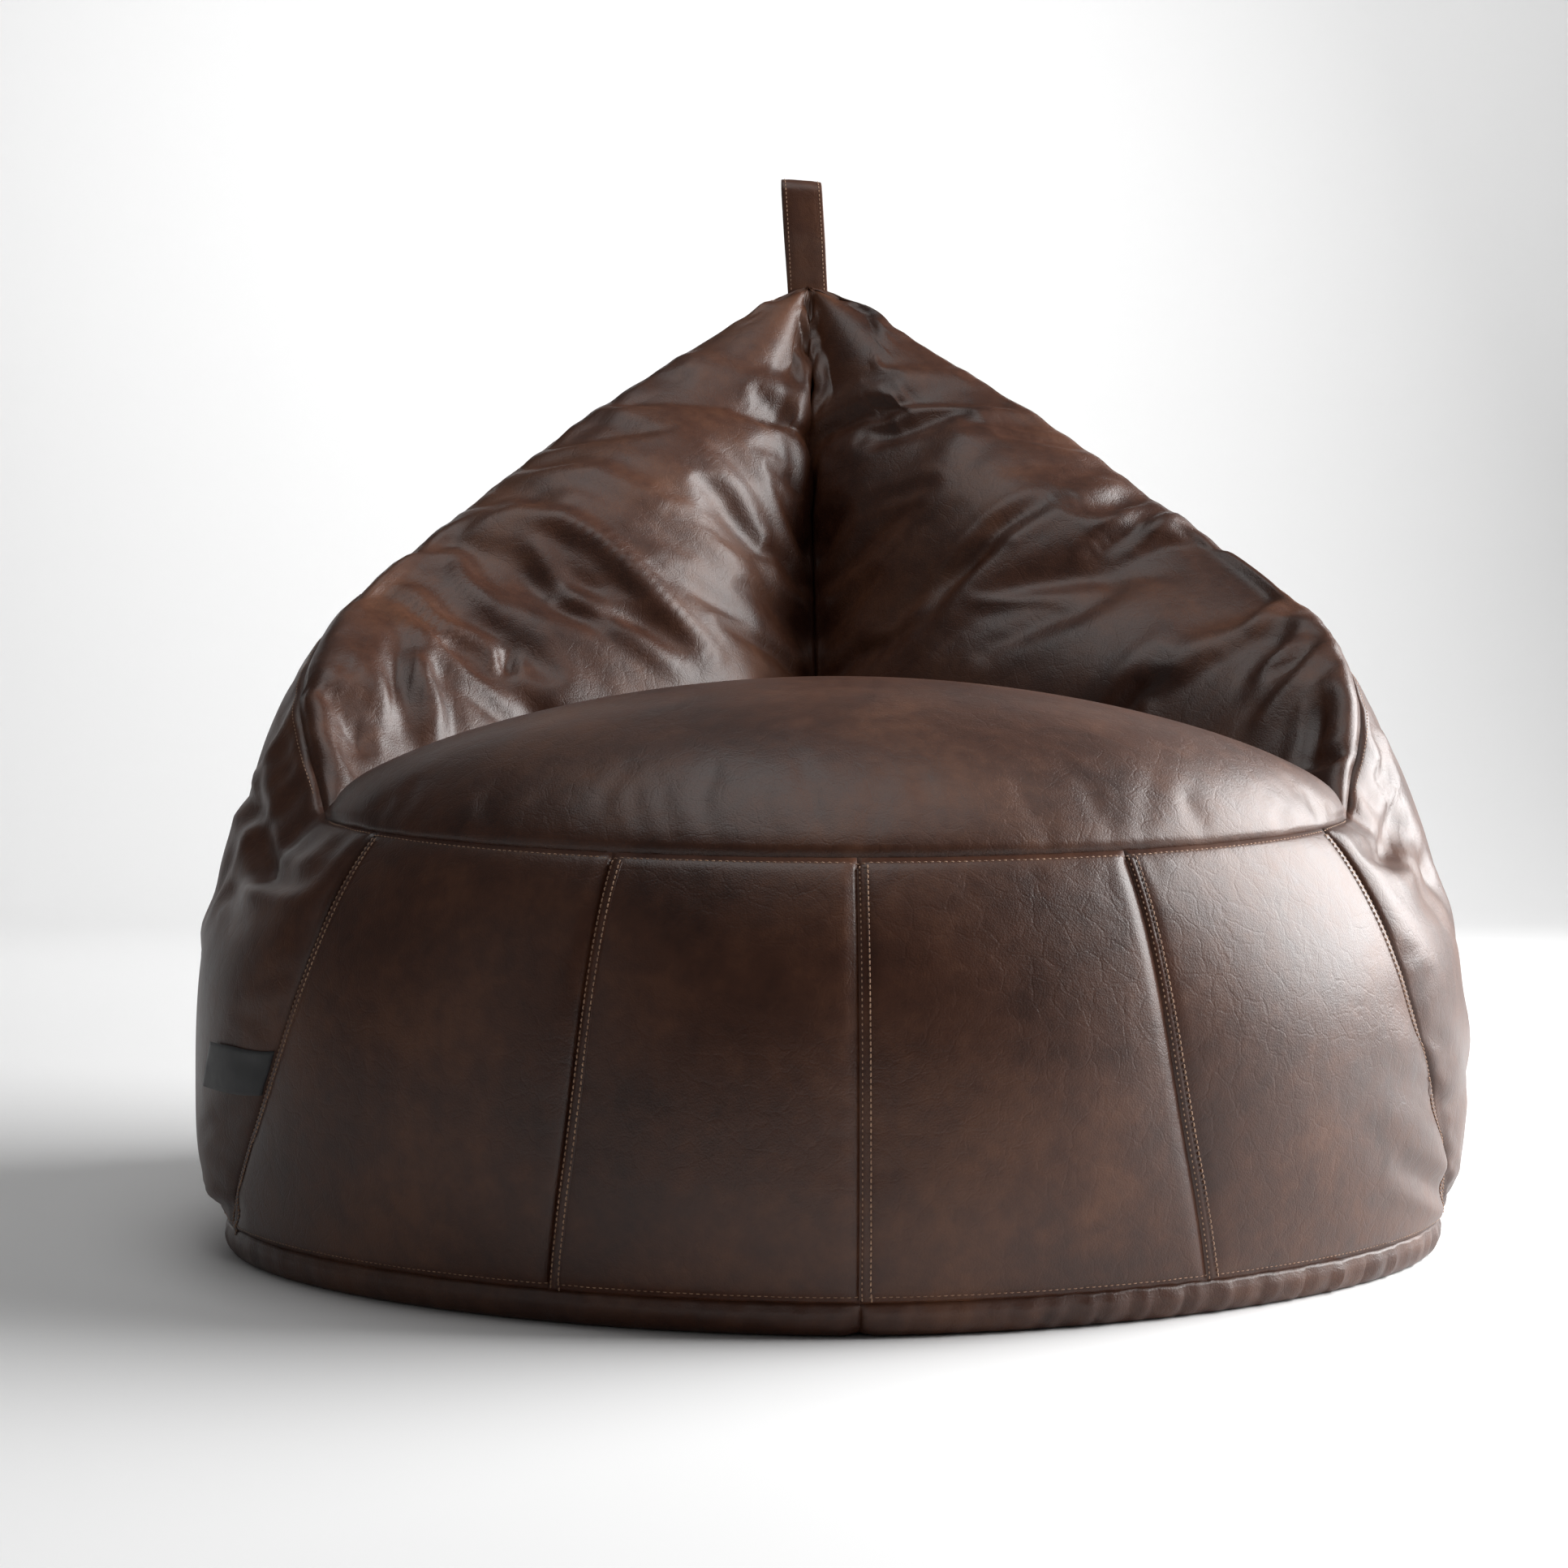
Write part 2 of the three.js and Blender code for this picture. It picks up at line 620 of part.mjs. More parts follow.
add('bead_filling', 'beads', fillingGeometry());

export default chair;
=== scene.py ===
"""Bean bag chair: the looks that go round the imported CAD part.

The leather cover is shaped panel by panel on the CAD's seam lines. Cloth simulation lets it buckle
between its seams, folds are pressed in, and then seams, stitches, handle, label and zip are added.
Metres, +Z up. The front faces -Y, and +X is on the right of somebody who faces the chair.
"""

import json
import math

import bmesh
import bpy
import numpy as np
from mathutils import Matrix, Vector
from mathutils.bvhtree import BVHTree
from mathutils.kdtree import KDTree


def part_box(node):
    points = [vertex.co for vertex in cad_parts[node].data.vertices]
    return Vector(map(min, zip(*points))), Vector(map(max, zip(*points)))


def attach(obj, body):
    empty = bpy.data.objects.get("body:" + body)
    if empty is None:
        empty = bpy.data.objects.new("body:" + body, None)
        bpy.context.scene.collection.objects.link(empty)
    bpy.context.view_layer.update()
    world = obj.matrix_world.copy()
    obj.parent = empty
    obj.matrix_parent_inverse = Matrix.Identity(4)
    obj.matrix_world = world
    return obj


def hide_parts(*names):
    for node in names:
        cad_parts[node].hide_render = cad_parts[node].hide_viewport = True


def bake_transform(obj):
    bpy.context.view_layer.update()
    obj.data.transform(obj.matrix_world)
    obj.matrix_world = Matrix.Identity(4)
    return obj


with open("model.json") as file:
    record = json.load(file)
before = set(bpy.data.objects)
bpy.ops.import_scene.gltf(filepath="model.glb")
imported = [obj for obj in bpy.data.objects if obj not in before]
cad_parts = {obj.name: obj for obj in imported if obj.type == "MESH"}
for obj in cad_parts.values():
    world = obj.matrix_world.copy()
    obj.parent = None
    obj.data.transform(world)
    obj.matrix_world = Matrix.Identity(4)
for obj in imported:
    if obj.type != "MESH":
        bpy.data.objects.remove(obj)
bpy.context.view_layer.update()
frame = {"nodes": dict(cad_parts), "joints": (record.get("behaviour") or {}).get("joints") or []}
scene = bpy.context.scene

# ---- Sizes, from the frame

outer_low, outer_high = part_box("outer_panel_right")
backrest_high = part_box("backrest_panel_right")[1]
front_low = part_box("front_panel_right")[0]
handle_low, handle_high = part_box("carry_handle")

HALF_WIDTH = outer_high.x
FRONT = front_low.y
BACK = outer_high.y
HEM_HEIGHT = outer_low.z
PEAK = np.array([0.0, backrest_high.y, backrest_high.z])

# The outline, in metres and as superellipse powers.
WIDEST_HEIGHT = 0.090
WIDEST_SETBACK = 0.325
HEM_INSET, HEM_SIDE_INSET = 0.008, 0.005
FOOT_INSET, FOOT_SIDE_INSET = 0.022, 0.012
FRONT_ROUNDNESS = 1.75
BACK_ROUNDNESS = 2.4
MIDDLE_Y = FRONT + WIDEST_SETBACK
BACK_REACH = BACK - MIDDLE_Y

# The seat and the backrest.
SEAT_FRONT_INSET = 0.040
SEAT_SIDE_INSET = 0.070
SEAT_FRONT_HEIGHT = 0.262
ARM_TIP_HEIGHT = 0.281
ARM_TIP_ANGLE = 81.0
CREASE_HEIGHT = 0.250
CREASE_REACH = 0.280
SEAT_CROWN = 0.108
VALLEY_SAG = 0.025
LOBE_CROWN = 0.060
PANEL_PUFF = 0.005

# The front's seams, as angles round the outline at the seat seam and at the hem.
FRONT_SEAMS = {
    "left": {"inner": (27.7, 32.3), "outer": (61.8, 80.9)},
    "right": {"inner": (31.3, 38.1), "outer": (65.4, 85.6)},
}
SIDES = {"left": -1.0, "right": 1.0}

# The zip's slot up the middle of the back.
CLEARANCE = 0.0003
ZIP_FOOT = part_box("zip_bottom_stop")[0].z - CLEARANCE
ZIP_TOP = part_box("zip_top_stop")[1].z + CLEARANCE
ZIP_HALF_SLOT = 0.005
STRAIGHT_PAST_ZIP = 0.005

# How finely the cover is divided.
FRONT_COLUMNS = 24
TIP_COLUMNS = 8
RIDGE_COLUMNS = 72
WALL_ROWS = 40
SEAT_ROWS = 44
CURL_ROWS = 6


# ---- Seam lines, for the right-hand side. Angles are in degrees round the outline from the front.


def mix(a, b, share):
    return a + (b - a) * share


def smoothstep(value, low, high):
    share = np.clip((value - low) / (high - low), 0, 1)
    return share * share * (3 - 2 * share)


def points_from(x, y, z):
    return np.stack(np.broadcast_arrays(x, y, z), axis=-1)


def outline(angle, front_inset=0.0, side_inset=None, power=None):
    """The outline's x and y at an angle, moved in by two insets."""
    side_inset = front_inset if side_inset is None else side_inset
    turn = np.radians(angle)
    at_front = np.asarray(angle) < 90
    roundness = np.where(at_front, FRONT_ROUNDNESS, BACK_ROUNDNESS) if power is None else power
    along = np.where(at_front, WIDEST_SETBACK, BACK_REACH) - front_inset
    across = HALF_WIDTH - side_inset
    total = (np.sin(turn) / across) ** roundness + (np.abs(np.cos(turn)) / along) ** roundness
    radius = total ** (-1 / roundness)
    return radius * np.sin(turn), MIDDLE_Y - radius * np.cos(turn)


def seat_seam(angle):
    x, y = outline(angle, SEAT_FRONT_INSET, SEAT_SIDE_INSET, 2)
    return points_from(x, y, mix(SEAT_FRONT_HEIGHT, ARM_TIP_HEIGHT, (angle / ARM_TIP_ANGLE) ** 2))


ARM_TIP = seat_seam(ARM_TIP_ANGLE)


def through_points(knots, count):
    """A smooth curve through the knots, as count + 1 evenly spaced points."""
    ends = [2 * knots[0] - knots[1], *knots, 2 * knots[-1] - knots[-2]]
    fine = []
    for p0, p1, p2, p3 in zip(ends, ends[1:], ends[2:], ends[3:]):
        gaps = [max(np.linalg.norm(b - a) ** 0.5, 1e-4) for a, b in ((p0, p1), (p1, p2), (p2, p3))]
        leaving = ((p1 - p0) / gaps[0] - (p2 - p0) / (gaps[0] + gaps[1]) + (p2 - p1) / gaps[1]) * gaps[1]
        arriving = ((p2 - p1) / gaps[1] - (p3 - p1) / (gaps[1] + gaps[2]) + (p3 - p2) / gaps[2]) * gaps[1]
        for t in np.linspace(0, 1, 60, endpoint=False):
            fine.append(
                (2 * t**3 - 3 * t**2 + 1) * p1
                + (t**3 - 2 * t**2 + t) * leaving
                + (3 * t**2 - 2 * t**3) * p2
                + (t**3 - t**2) * arriving
            )
    return evenly_spaced(np.array([*fine, knots[-1]]), count)


def evenly_spaced(line, count):
    travelled = np.concatenate([[0], np.cumsum(np.linalg.norm(np.diff(line, axis=0), axis=1))])
    stops = np.linspace(0, travelled[-1], count + 1)
    return np.stack([np.interp(stops, travelled, line[:, axis]) for axis in range(3)], axis=1)


def directions(line):
    """The unit direction of a line at each of its points."""
    along = np.gradient(line, axis=0)
    return along / np.linalg.norm(along, axis=1, keepdims=True)


# The ridge climbs from the arm tip over the arm to the peak: shares of the way across, back and up.
RIDGE_SHAPE = [
    (1.00, 0.00, 0.00),
    (1.09, 0.16, 0.17),
    (1.055, 0.35, 0.31),
    (0.895, 0.53, 0.46),
    (0.54, 0.78, 0.72),
    (0.063, 0.99, 0.985),
    (0.00, 1.00, 1.00),
]
RIDGE_KNOTS = [
    np.array([across * ARM_TIP[0], mix(ARM_TIP[1], PEAK[1], back), mix(ARM_TIP[2], PEAK[2], up)])
    for across, back, up in RIDGE_SHAPE
]
RIDGE = through_points(RIDGE_KNOTS, 400)


def ridge(climb):
    """Points on the ridge at shares of its length."""
    places = np.asarray(climb) * (len(RIDGE) - 1)
    return np.stack([np.interp(places, np.arange(len(RIDGE)), RIDGE[:, axis]) for axis in range(3)], axis=-1)


def crease(share):
    """The crease between seat and backrest, from its middle at 0 to the arm tip at 1."""
    return points_from(
        ARM_TIP[0] * share,
        ARM_TIP[1] + CREASE_REACH * (1 - np.abs(share) ** 1.6),
        mix(CREASE_HEIGHT, ARM_TIP[2], share**2),
    )


def valley(climb):
    """The valley between the two halves of the backrest, from the crease to the peak."""
    foot = crease(np.array(0.0))
    run = PEAK - foot
    behind = np.array([0.0, run[2], -run[1]]) / np.linalg.norm(run)
    climb = np.asarray(climb)[..., None]
    return foot + run * climb + behind * VALLEY_SAG * np.sin(np.pi * climb)


# ---- Panel surfaces, each as a grid of points


def front_columns(start, end, count, puff):
    """Columns of the wall from one front seam to the next, as angles, top points and swell."""
    share = np.linspace(0, 1, count + 1)
    top_angle = mix(start[0], end[0], share)
    return {
        "hem_angle": mix(start[1], end[1], share),
        "top_angle": top_angle,
        "top": seat_seam(top_angle),
        "puff": puff * np.sin(np.pi * share),
    }


def ridge_columns():
    top = ridge(np.linspace(0, 1, RIDGE_COLUMNS + 1))
    top_angle = np.degrees(np.arctan2(top[:, 0], MIDDLE_Y - top[:, 1]))
    share = (top_angle - ARM_TIP_ANGLE) / (180 - ARM_TIP_ANGLE)
    return {"hem_angle": mix(90, 180, share), "top_angle": top_angle, "top": top, "puff": 0 * share}


def wall_surface(columns, climb):
    """The wall rises from the hem, swells to its widest and leans in to the seam at its top."""
    hem_angle, top_angle, puff = (columns[key][:, None] for key in ("hem_angle", "top_angle", "puff"))
    top = columns["top"][:, None, :]
    up = climb**1.3
    z = mix(HEM_HEIGHT, top[..., 2], up)
    angle = mix(hem_angle, top_angle, 1 - (1 - up) ** 2)
    turn = np.radians(angle)
    x, y = outline(angle)
    x = x + puff * np.sin(turn) * np.sin(np.pi * climb)
    y = y - puff * np.cos(turn) * np.sin(np.pi * climb)
    low_x, low_y = outline(angle, HEM_INSET, HEM_SIDE_INSET)
    drop = np.clip((WIDEST_HEIGHT - z) / (WIDEST_HEIGHT - HEM_HEIGHT), 0, 1) ** 2
    straight = (ZIP_TOP + STRAIGHT_PAST_ZIP - WIDEST_HEIGHT) / (PEAK[2] - WIDEST_HEIGHT)
    kept = straight * smoothstep(hem_angle, 140, 172)
    rise = (z - WIDEST_HEIGHT) / (top[..., 2] - WIDEST_HEIGHT)
    lean = np.clip((rise - kept) / (1 - kept), 0, 1) ** 3.4
    x = mix(mix(x, low_x, drop), top[..., 0], lean)
    y = mix(mix(y, low_y, drop), top[..., 1], lean)
    return points_from(x, y, z)


def seat_surface(share, back):
    share, back = share[:, None], back[None, :]
    seam = seat_seam(share * ARM_TIP_ANGLE)
    points = mix(seam, crease(share), back[..., None])
    dome = np.clip(np.cos(np.pi / 2 * share), 0, 1) ** 0.8 * np.clip(np.sin(np.pi * back), 0, 1) ** 0.7
    points[..., 2] += SEAT_CROWN * dome
    return points


def back_chord(across, climb):
    """A backrest half before it swells: stretched between valley, ridge and crease."""
    points = mix(valley(climb), ridge(climb), across[..., None])
    straight_foot = mix(crease(np.array(0.0)), crease(np.array(1.0)), across[..., None])
    return points + (crease(across) - straight_foot) * (1 - climb)[..., None]


def back_surface(across, climb):
    across, climb = np.meshgrid(across, climb, indexing="ij")
    step = 0.01
    sideways = back_chord(np.minimum(across + step, 1), climb) - back_chord(across - step, climb)
    above = back_chord(across, np.minimum(climb + step, 1))
    upwards = above - back_chord(across, np.maximum(climb - step, 0))
    facing = np.cross(sideways, upwards)
    facing /= np.maximum(np.linalg.norm(facing, axis=-1, keepdims=True), 1e-9)
    swell_across = np.clip(np.sin(np.pi * across), 0, 1) ** 0.6
    swell_up = np.clip(np.sin(np.pi * climb**0.8), 0, 1) ** 0.7
    return back_chord(across, climb) + facing * (LOBE_CROWN * (swell_across * swell_up))[..., None]


def base_surface(hem_angle):
    """The base turns under from the hem to the floor and lies flat to its centre seam."""
    count = len(hem_angle) - 1
    y = mix(outline(0.0, FOOT_INSET)[1], outline(180.0, FOOT_INSET)[1], np.linspace(0, 1, count + 1))
    rows = [points_from(0.0, y, 0.0)]
    foot = points_from(*outline(hem_angle, FOOT_INSET, FOOT_SIDE_INSET), 0.0)
    rows += [mix(rows[0], foot, share) for share in (0.35, 0.65, 0.9)]
    for curl in np.linspace(0, 1, CURL_ROWS + 1):
        out = math.sin(curl * math.pi / 2)
        insets = mix(FOOT_INSET, HEM_INSET, out), mix(FOOT_SIDE_INSET, HEM_SIDE_INSET, out)
        height = HEM_HEIGHT * (1 - math.cos(curl * math.pi / 2))
        rows.append(points_from(*outline(hem_angle, *insets), height))
    return np.stack(rows, axis=1)


# ---- The cover: every panel in one mesh that shares its points along the seams

PANEL_PAIRS = ["backrest_panel", "outer_panel", "front_panel", "front_panel_far", "base_panel"]
PANELS = ["seat_panel", *[f"{pair}_{side}" for pair in PANEL_PAIRS for side in SIDES]]


def side_patches(side):
    """(panel, grid) for each surface on one side, in its right-hand form."""
    inner, outer = FRONT_SEAMS[side]["inner"], FRONT_SEAMS[side]["outer"]
    climb = np.linspace(0, 1, WALL_ROWS + 1)
    walls = {
        "inner": front_columns((0.0, 0.0), inner, FRONT_COLUMNS, PANEL_PUFF),
        "outer": front_columns(inner, outer, FRONT_COLUMNS, PANEL_PUFF),
        "tip": front_columns(outer, (ARM_TIP_ANGLE, 90.0), TIP_COLUMNS, 0.0),
        "ridge": ridge_columns(),
    }

    def joined(key, names):
        return np.concatenate([walls[name][key][bool(i):] for i, name in enumerate(names)])

    share = joined("top_angle", ["inner", "outer", "tip"]) / ARM_TIP_ANGLE
    return [
        (f"front_panel_{side}", wall_surface(walls["inner"], climb)),
        (f"front_panel_far_{side}", wall_surface(walls["outer"], climb)),
        (f"outer_panel_{side}", wall_surface(walls["tip"], climb)),
        (f"outer_panel_{side}", wall_surface(walls["ridge"], climb)),
        ("seat_panel", seat_surface(share, np.linspace(0, 1, SEAT_ROWS + 1))),
        (f"backrest_panel_{side}", back_surface(share, np.linspace(0, 1, RIDGE_COLUMNS + 1))),
        (f"base_panel_{side}", base_surface(joined("hem_angle", ["inner", "outer", "tip", "ridge"]))),
    ]


def add_object(name, data):
    item = bpy.data.objects.new(name, data)
    scene.collection.objects.link(item)
    return item


def new_object(name, points, faces, material):
    mesh = bpy.data.meshes.new(name)
    mesh.from_pydata(np.asarray(points, float).tolist(), [], faces)
    mesh.polygons.foreach_set("use_smooth", [True] * len(mesh.polygons))
    mesh.update()
    if material:
        mesh.materials.append(material)
    return add_object(name, mesh)


def grid_faces(rows, across, closed=False):
    """Faces over a grid of points, row by row. A closed grid joins its last column to its first."""
    return [
        [i * across + j, i * across + k, (i + 1) * across + k, (i + 1) * across + j]
        for i in range(rows - 1)
        for j, k in zip(range(across), [*range(1, across), *([0] if closed else [])])
    ]


def tube_faces(rings, sides):
    """Faces round a tube of rings, with a face over each end."""
    last = (rings - 1) * sides
    ends = [list(range(sides))[::-1], [last + k for k in range(sides)]]
    return grid_faces(rings, sides, closed=True) + ends


def evaluated(piece):
    return piece.evaluated_get(bpy.context.evaluated_depsgraph_get())


def subdivide(piece):
    """Divides a piece's faces in four and smooths them."""
    modifier = piece.modifiers.new("smooth", "SUBSURF")
    modifier.levels = 1
    piece.data = bpy.data.meshes.new_from_object(evaluated(piece))
    piece.modifiers.remove(modifier)


def stands_for(piece, body, node):
    """Puts a piece in a CAD node's place and the body that it rides on."""
    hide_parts(node)
    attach(piece, body)


def stitched_cover():
    """The whole cover as one mesh, with each face's panel number as an attribute."""
    points, faces, panel_of_face = [], [], []
    for side, sign in SIDES.items():
        for panel, grid in side_patches(side):
            columns, rows = grid.shape[:2]
            first = len(points)
            points.extend((grid * [sign, 1, 1]).reshape(-1, 3))
            for i in range(columns - 1):
                for j in range(rows - 1):
                    corner = first + i * rows + j
                    quad = [corner, corner + rows, corner + rows + 1, corner + 1]
                    faces.append(quad if side == "right" else quad[::-1])
                    panel_of_face.append(PANELS.index(panel))
    cover = new_object("cover", points, faces, None)
    cover.data.attributes.new("panel", "INT", "FACE").data.foreach_set("value", panel_of_face)
    mesh = bmesh.new()
    mesh.from_mesh(cover.data)
    bmesh.ops.remove_doubles(mesh, verts=mesh.verts, dist=0.0004)
    mesh.to_mesh(cover.data)
    mesh.free()
    return cover


def column(items, name, kind, width=1):
    """One property of all of a mesh's vertices, loops or faces, as an array."""
    flat = np.empty(len(items) * width, kind)
    items.foreach_get(name, flat)
    return flat.reshape(-1, width) if width > 1 else flat


def coordinates(mesh):
    return column(mesh.vertices, "co", float, 3)


def facings(mesh):
    return column(mesh.vertex_normals, "vector", float, 3)


def panel_numbers(mesh):
    return column(mesh.attributes["panel"].data, "value", int)


def move_to(mesh, points):
    mesh.vertices.foreach_set("co", points.ravel())
    mesh.update()


def panels_touching(mesh):
    """For each vertex, which panels it belongs to, as a table of vertices by panels."""
    corners = column(mesh.loops, "vertex_index", int)
    sizes = column(mesh.polygons, "loop_total", int)
    table = np.zeros((len(mesh.vertices), len(PANELS)), bool)
    table[corners, np.repeat(panel_numbers(mesh), sizes)] = True
    return table


def touching_pair(belongs, pair):
    """Which vertices touch the left and the right panel of a pair."""
    return belongs[:, [PANELS.index(f"{pair}_{side}") for side in SIDES]]


# ---- Cloth: the leather buckles between its seams

CLOTH_FRAMES = 20
LARGEST_SWELL = 0.030
LARGEST_SINK = 0.004
MOST_SLACK = 0.055
SLACK = {
    "seat_panel": 0.006,
    "backrest_panel": 0.055,
    "outer_panel": 0.035,
    "front_panel": 0.003,
    "base_panel": 0.0,
}


def slack_of(panel):
    return next(slack for stem, slack in SLACK.items() if panel.startswith(stem))


def near_zip(points, aside, beyond):
    """Which points lie near the zip's slot, by how far to its side and past its ends."""
    x, y, z = points.T
    return (np.abs(x) < aside) & (y > BACK - 0.02) & (z > ZIP_FOOT - beyond) & (z < ZIP_TOP + beyond)


def group_points(cover):
    """Two vertex groups: what the cloth holds still, and how taut each panel is."""
    belongs = panels_touching(cover.data)
    on_seam = belongs.sum(axis=1) > 1
    on_base = touching_pair(belongs, "base_panel").any(axis=1)
    by_zip = near_zip(coordinates(cover.data), aside=0.025, beyond=0.03)
    held = cover.vertex_groups.new(name="held")
    held.add(np.flatnonzero(on_seam | on_base | by_zip).tolist(), 1.0, "REPLACE")
    taut = cover.vertex_groups.new(name="taut")
    for number, panel in enumerate(PANELS):
        taut.add(np.flatnonzero(belongs[:, number]).tolist(), 1 - slack_of(panel) / MOST_SLACK, "REPLACE")


# Blown-up cloth, without gravity. Negative shrinking gives the panels their slack.
CLOTH = {
    "quality": 5,
    "mass": 0.3,
    "tension_stiffness": 20,
    "compression_stiffness": 20,
    "shear_stiffness": 8,
    "bending_stiffness": 1.0,
    "use_pressure": True,
    "uniform_pressure_force": 6,
    "vertex_group_mass": "held",
    "vertex_group_shrink": "taut",
    "shrink_min": -MOST_SLACK,
    "shrink_max": 0,
}


def buckle(cover):
    """Blows the cover up a little, and limits how far each point sinks or swells."""
    mesh = cover.data
    rest, outwards = coordinates(mesh), facings(mesh)
    group_points(cover)
    cloth = cover.modifiers.new("cloth", "CLOTH")
    for setting, value in CLOTH.items():
        setattr(cloth.settings, setting, value)
    cloth.settings.effector_weights.gravity = 0
    cloth.point_cache.frame_end = CLOTH_FRAMES
    for number in range(1, CLOTH_FRAMES + 1):
        scene.frame_set(number)
    puffed = coordinates(evaluated(cover).data)
    cover.modifiers.remove(cloth)
    scene.frame_set(1)

    move = puffed - rest
    out = (move * outwards).sum(axis=1, keepdims=True)
    move += outwards * (np.maximum(out, -LARGEST_SINK) - out)
    length = np.linalg.norm(move, axis=1, keepdims=True)
    move_to(mesh, rest + move * np.minimum(1, LARGEST_SWELL / np.maximum(length, 1e-9)))


# ---- Folds pressed into the leather


def lobe_spot(across, climb):
    return back_surface(np.array([across]), np.array([climb]))[0, 0]


def wall_spot(angle, height):
    return points_from(*outline(angle), height)


# Each fold is its line, its half width and its height, below zero for a groove. In millimetres.
# A lobe's line has shares of the way across and up. A wall's line has angles and heights in metres.
LOBE_FOLDS = {
    "left": [
        ([(0.87, 0.47), (0.65, 0.41), (0.46, 0.31), (0.31, 0.22)], 10, 4.5),
        ([(0.79, 0.42), (0.63, 0.31), (0.51, 0.24), (0.38, 0.19)], 9, 4.5),
        ([(0.97, 0.40), (0.91, 0.40), (0.86, 0.36), (0.74, 0.27)], 8, 3.5),
        ([(0.97, 0.35), (0.91, 0.32), (0.83, 0.26), (0.74, 0.22), (0.69, 0.19)], 8, 5),
        ([(0.94, 0.31), (0.85, 0.23), (0.76, 0.17), (0.65, 0.12)], 9, 5),
        ([(0.84, 0.21), (0.83, 0.16), (0.81, 0.12), (0.81, 0.07)], 8, 7),
        ([(0.89, 0.22), (0.87, 0.16), (0.86, 0.09)], 7, -5.5),
        ([(0.95, 0.20), (0.91, 0.15), (0.87, 0.09)], 9, 4),
        ([(0.99, 0.16), (0.96, 0.13), (0.93, 0.08)], 9, -5.5),
        ([(0.99, 0.10), (0.97, 0.06), (0.95, 0.03)], 7, 4),
        ([(0.54, 0.60), (0.31, 0.53), (0.12, 0.42)], 12, 3),
        ([(0.62, 0.50), (0.42, 0.44), (0.19, 0.36)], 12, 3),
        ([(0.96, 0.53), (0.81, 0.54), (0.58, 0.48)], 12, 2.5),
        ([(0.99, 0.62), (0.90, 0.66), (0.75, 0.64)], 9, -2.5),
        ([(0.06, 0.86), (0.10, 0.72), (0.05, 0.58)], 9, 3),
        ([(0.70, 0.21), (0.68, 0.17)], 6, -5.5),
        ([(0.93, 0.10), (0.92, 0.07)], 6, -5.5),
    ],
    "right": [
        ([(0.99, 0.50), (0.94, 0.48), (0.85, 0.44), (0.74, 0.40)], 8, -5.5),
        ([(0.98, 0.55), (0.88, 0.52), (0.76, 0.48)], 12, 5),
        ([(0.73, 0.48), (0.56, 0.42), (0.46, 0.37), (0.38, 0.31), (0.33, 0.26)], 9, -5),
        ([(0.99, 0.32), (0.94, 0.28), (0.87, 0.23)], 8, 4),
        ([(0.98, 0.26), (0.94, 0.22), (0.88, 0.17), (0.86, 0.14)], 7, 4.5),
        ([(0.98, 0.21), (0.94, 0.17), (0.88, 0.12), (0.86, 0.09)], 7, 4.5),
        ([(0.99, 0.23), (0.93, 0.19), (0.86, 0.15)], 5, -4),
        ([(0.99, 0.08), (0.97, 0.06), (0.93, 0.06)], 6, -5),
        ([(0.95, 0.14), (0.94, 0.09), (0.93, 0.05)], 6, -5.5),
        ([(0.75, 0.20), (0.66, 0.14), (0.60, 0.08)], 9, -3),
        ([(0.90, 0.70), (0.70, 0.64), (0.50, 0.56)], 14, 2),
    ],
}
WALL_FOLDS = {
    "left": [
        ([(88, 0.292), (80, 0.268), (71, 0.256), (64, 0.256)], 8, -5.5),
        ([(90, 0.262), (82, 0.246), (74, 0.238)], 10, 4),
        ([(100, 0.300), (92, 0.288), (86, 0.292)], 9, -5),
        ([(95, 0.340), (90, 0.322), (85, 0.310)], 9, 4),
        ([(76, 0.034), (84, 0.028), (92, 0.032)], 8, -5),
        ([(108, 0.220), (100, 0.200), (92, 0.205)], 14, 3),
    ],
    "right": [
        ([(89, 0.304), (82, 0.292), (75, 0.281), (68, 0.284)], 8, -5.5),
        ([(91, 0.276), (83, 0.262), (74, 0.256)], 11, 4),
        ([(92, 0.338), (87, 0.324), (83, 0.318)], 7, -5),
        ([(96, 0.365), (91, 0.350), (88, 0.346)], 7, -4),
        ([(60, 0.108), (71, 0.086), (82, 0.052)], 13, 2.5),
        ([(62, 0.148), (74, 0.122), (84, 0.092)], 14, 2),
        ([(64, 0.070), (76, 0.048), (86, 0.034)], 8, -4),
        ([(84, 0.150), (92, 0.120), (101, 0.110)], 14, 3),
    ],
}
# The back of the chair slumps in long, soft folds over its beads.
BACK_FOLDS = [
    ([(118, 0.300), (132, 0.262), (147, 0.272)], 16, -5.5),
    ([(112, 0.395), (124, 0.350), (138, 0.346)], 14, -5),
    ([(128, 0.200), (143, 0.168), (158, 0.176)], 16, -5),
    ([(108, 0.110), (121, 0.082), (136, 0.092)], 14, -4),
    ([(132, 0.455), (147, 0.420), (160, 0.430)], 14, -5),
    ([(146, 0.560), (158, 0.520), (168, 0.530)], 12, -4),
]


# How many steps a fold's line is cut into, and how many half widths away a fold is still felt.
FOLD_STEPS = 24
FOLD_REACH = 4


def fold_profile(points, line, width, height):
    """How far each point rises by one fold: a roll or groove that fades out at its ends."""
    gaps = np.linalg.norm(points[:, None, :] - line[None, :, :], axis=2)
    nearest = gaps.argmin(axis=1)
    across = gaps[np.arange(len(points)), nearest] / width
    fade = np.sin(np.pi * np.clip((nearest + 0.5) / len(line), 0, 1)) ** 0.6
    return height * fade * (np.exp(-(across**2)) - 0.4 * np.exp(-(((across - 1.8) / 0.8) ** 2)))


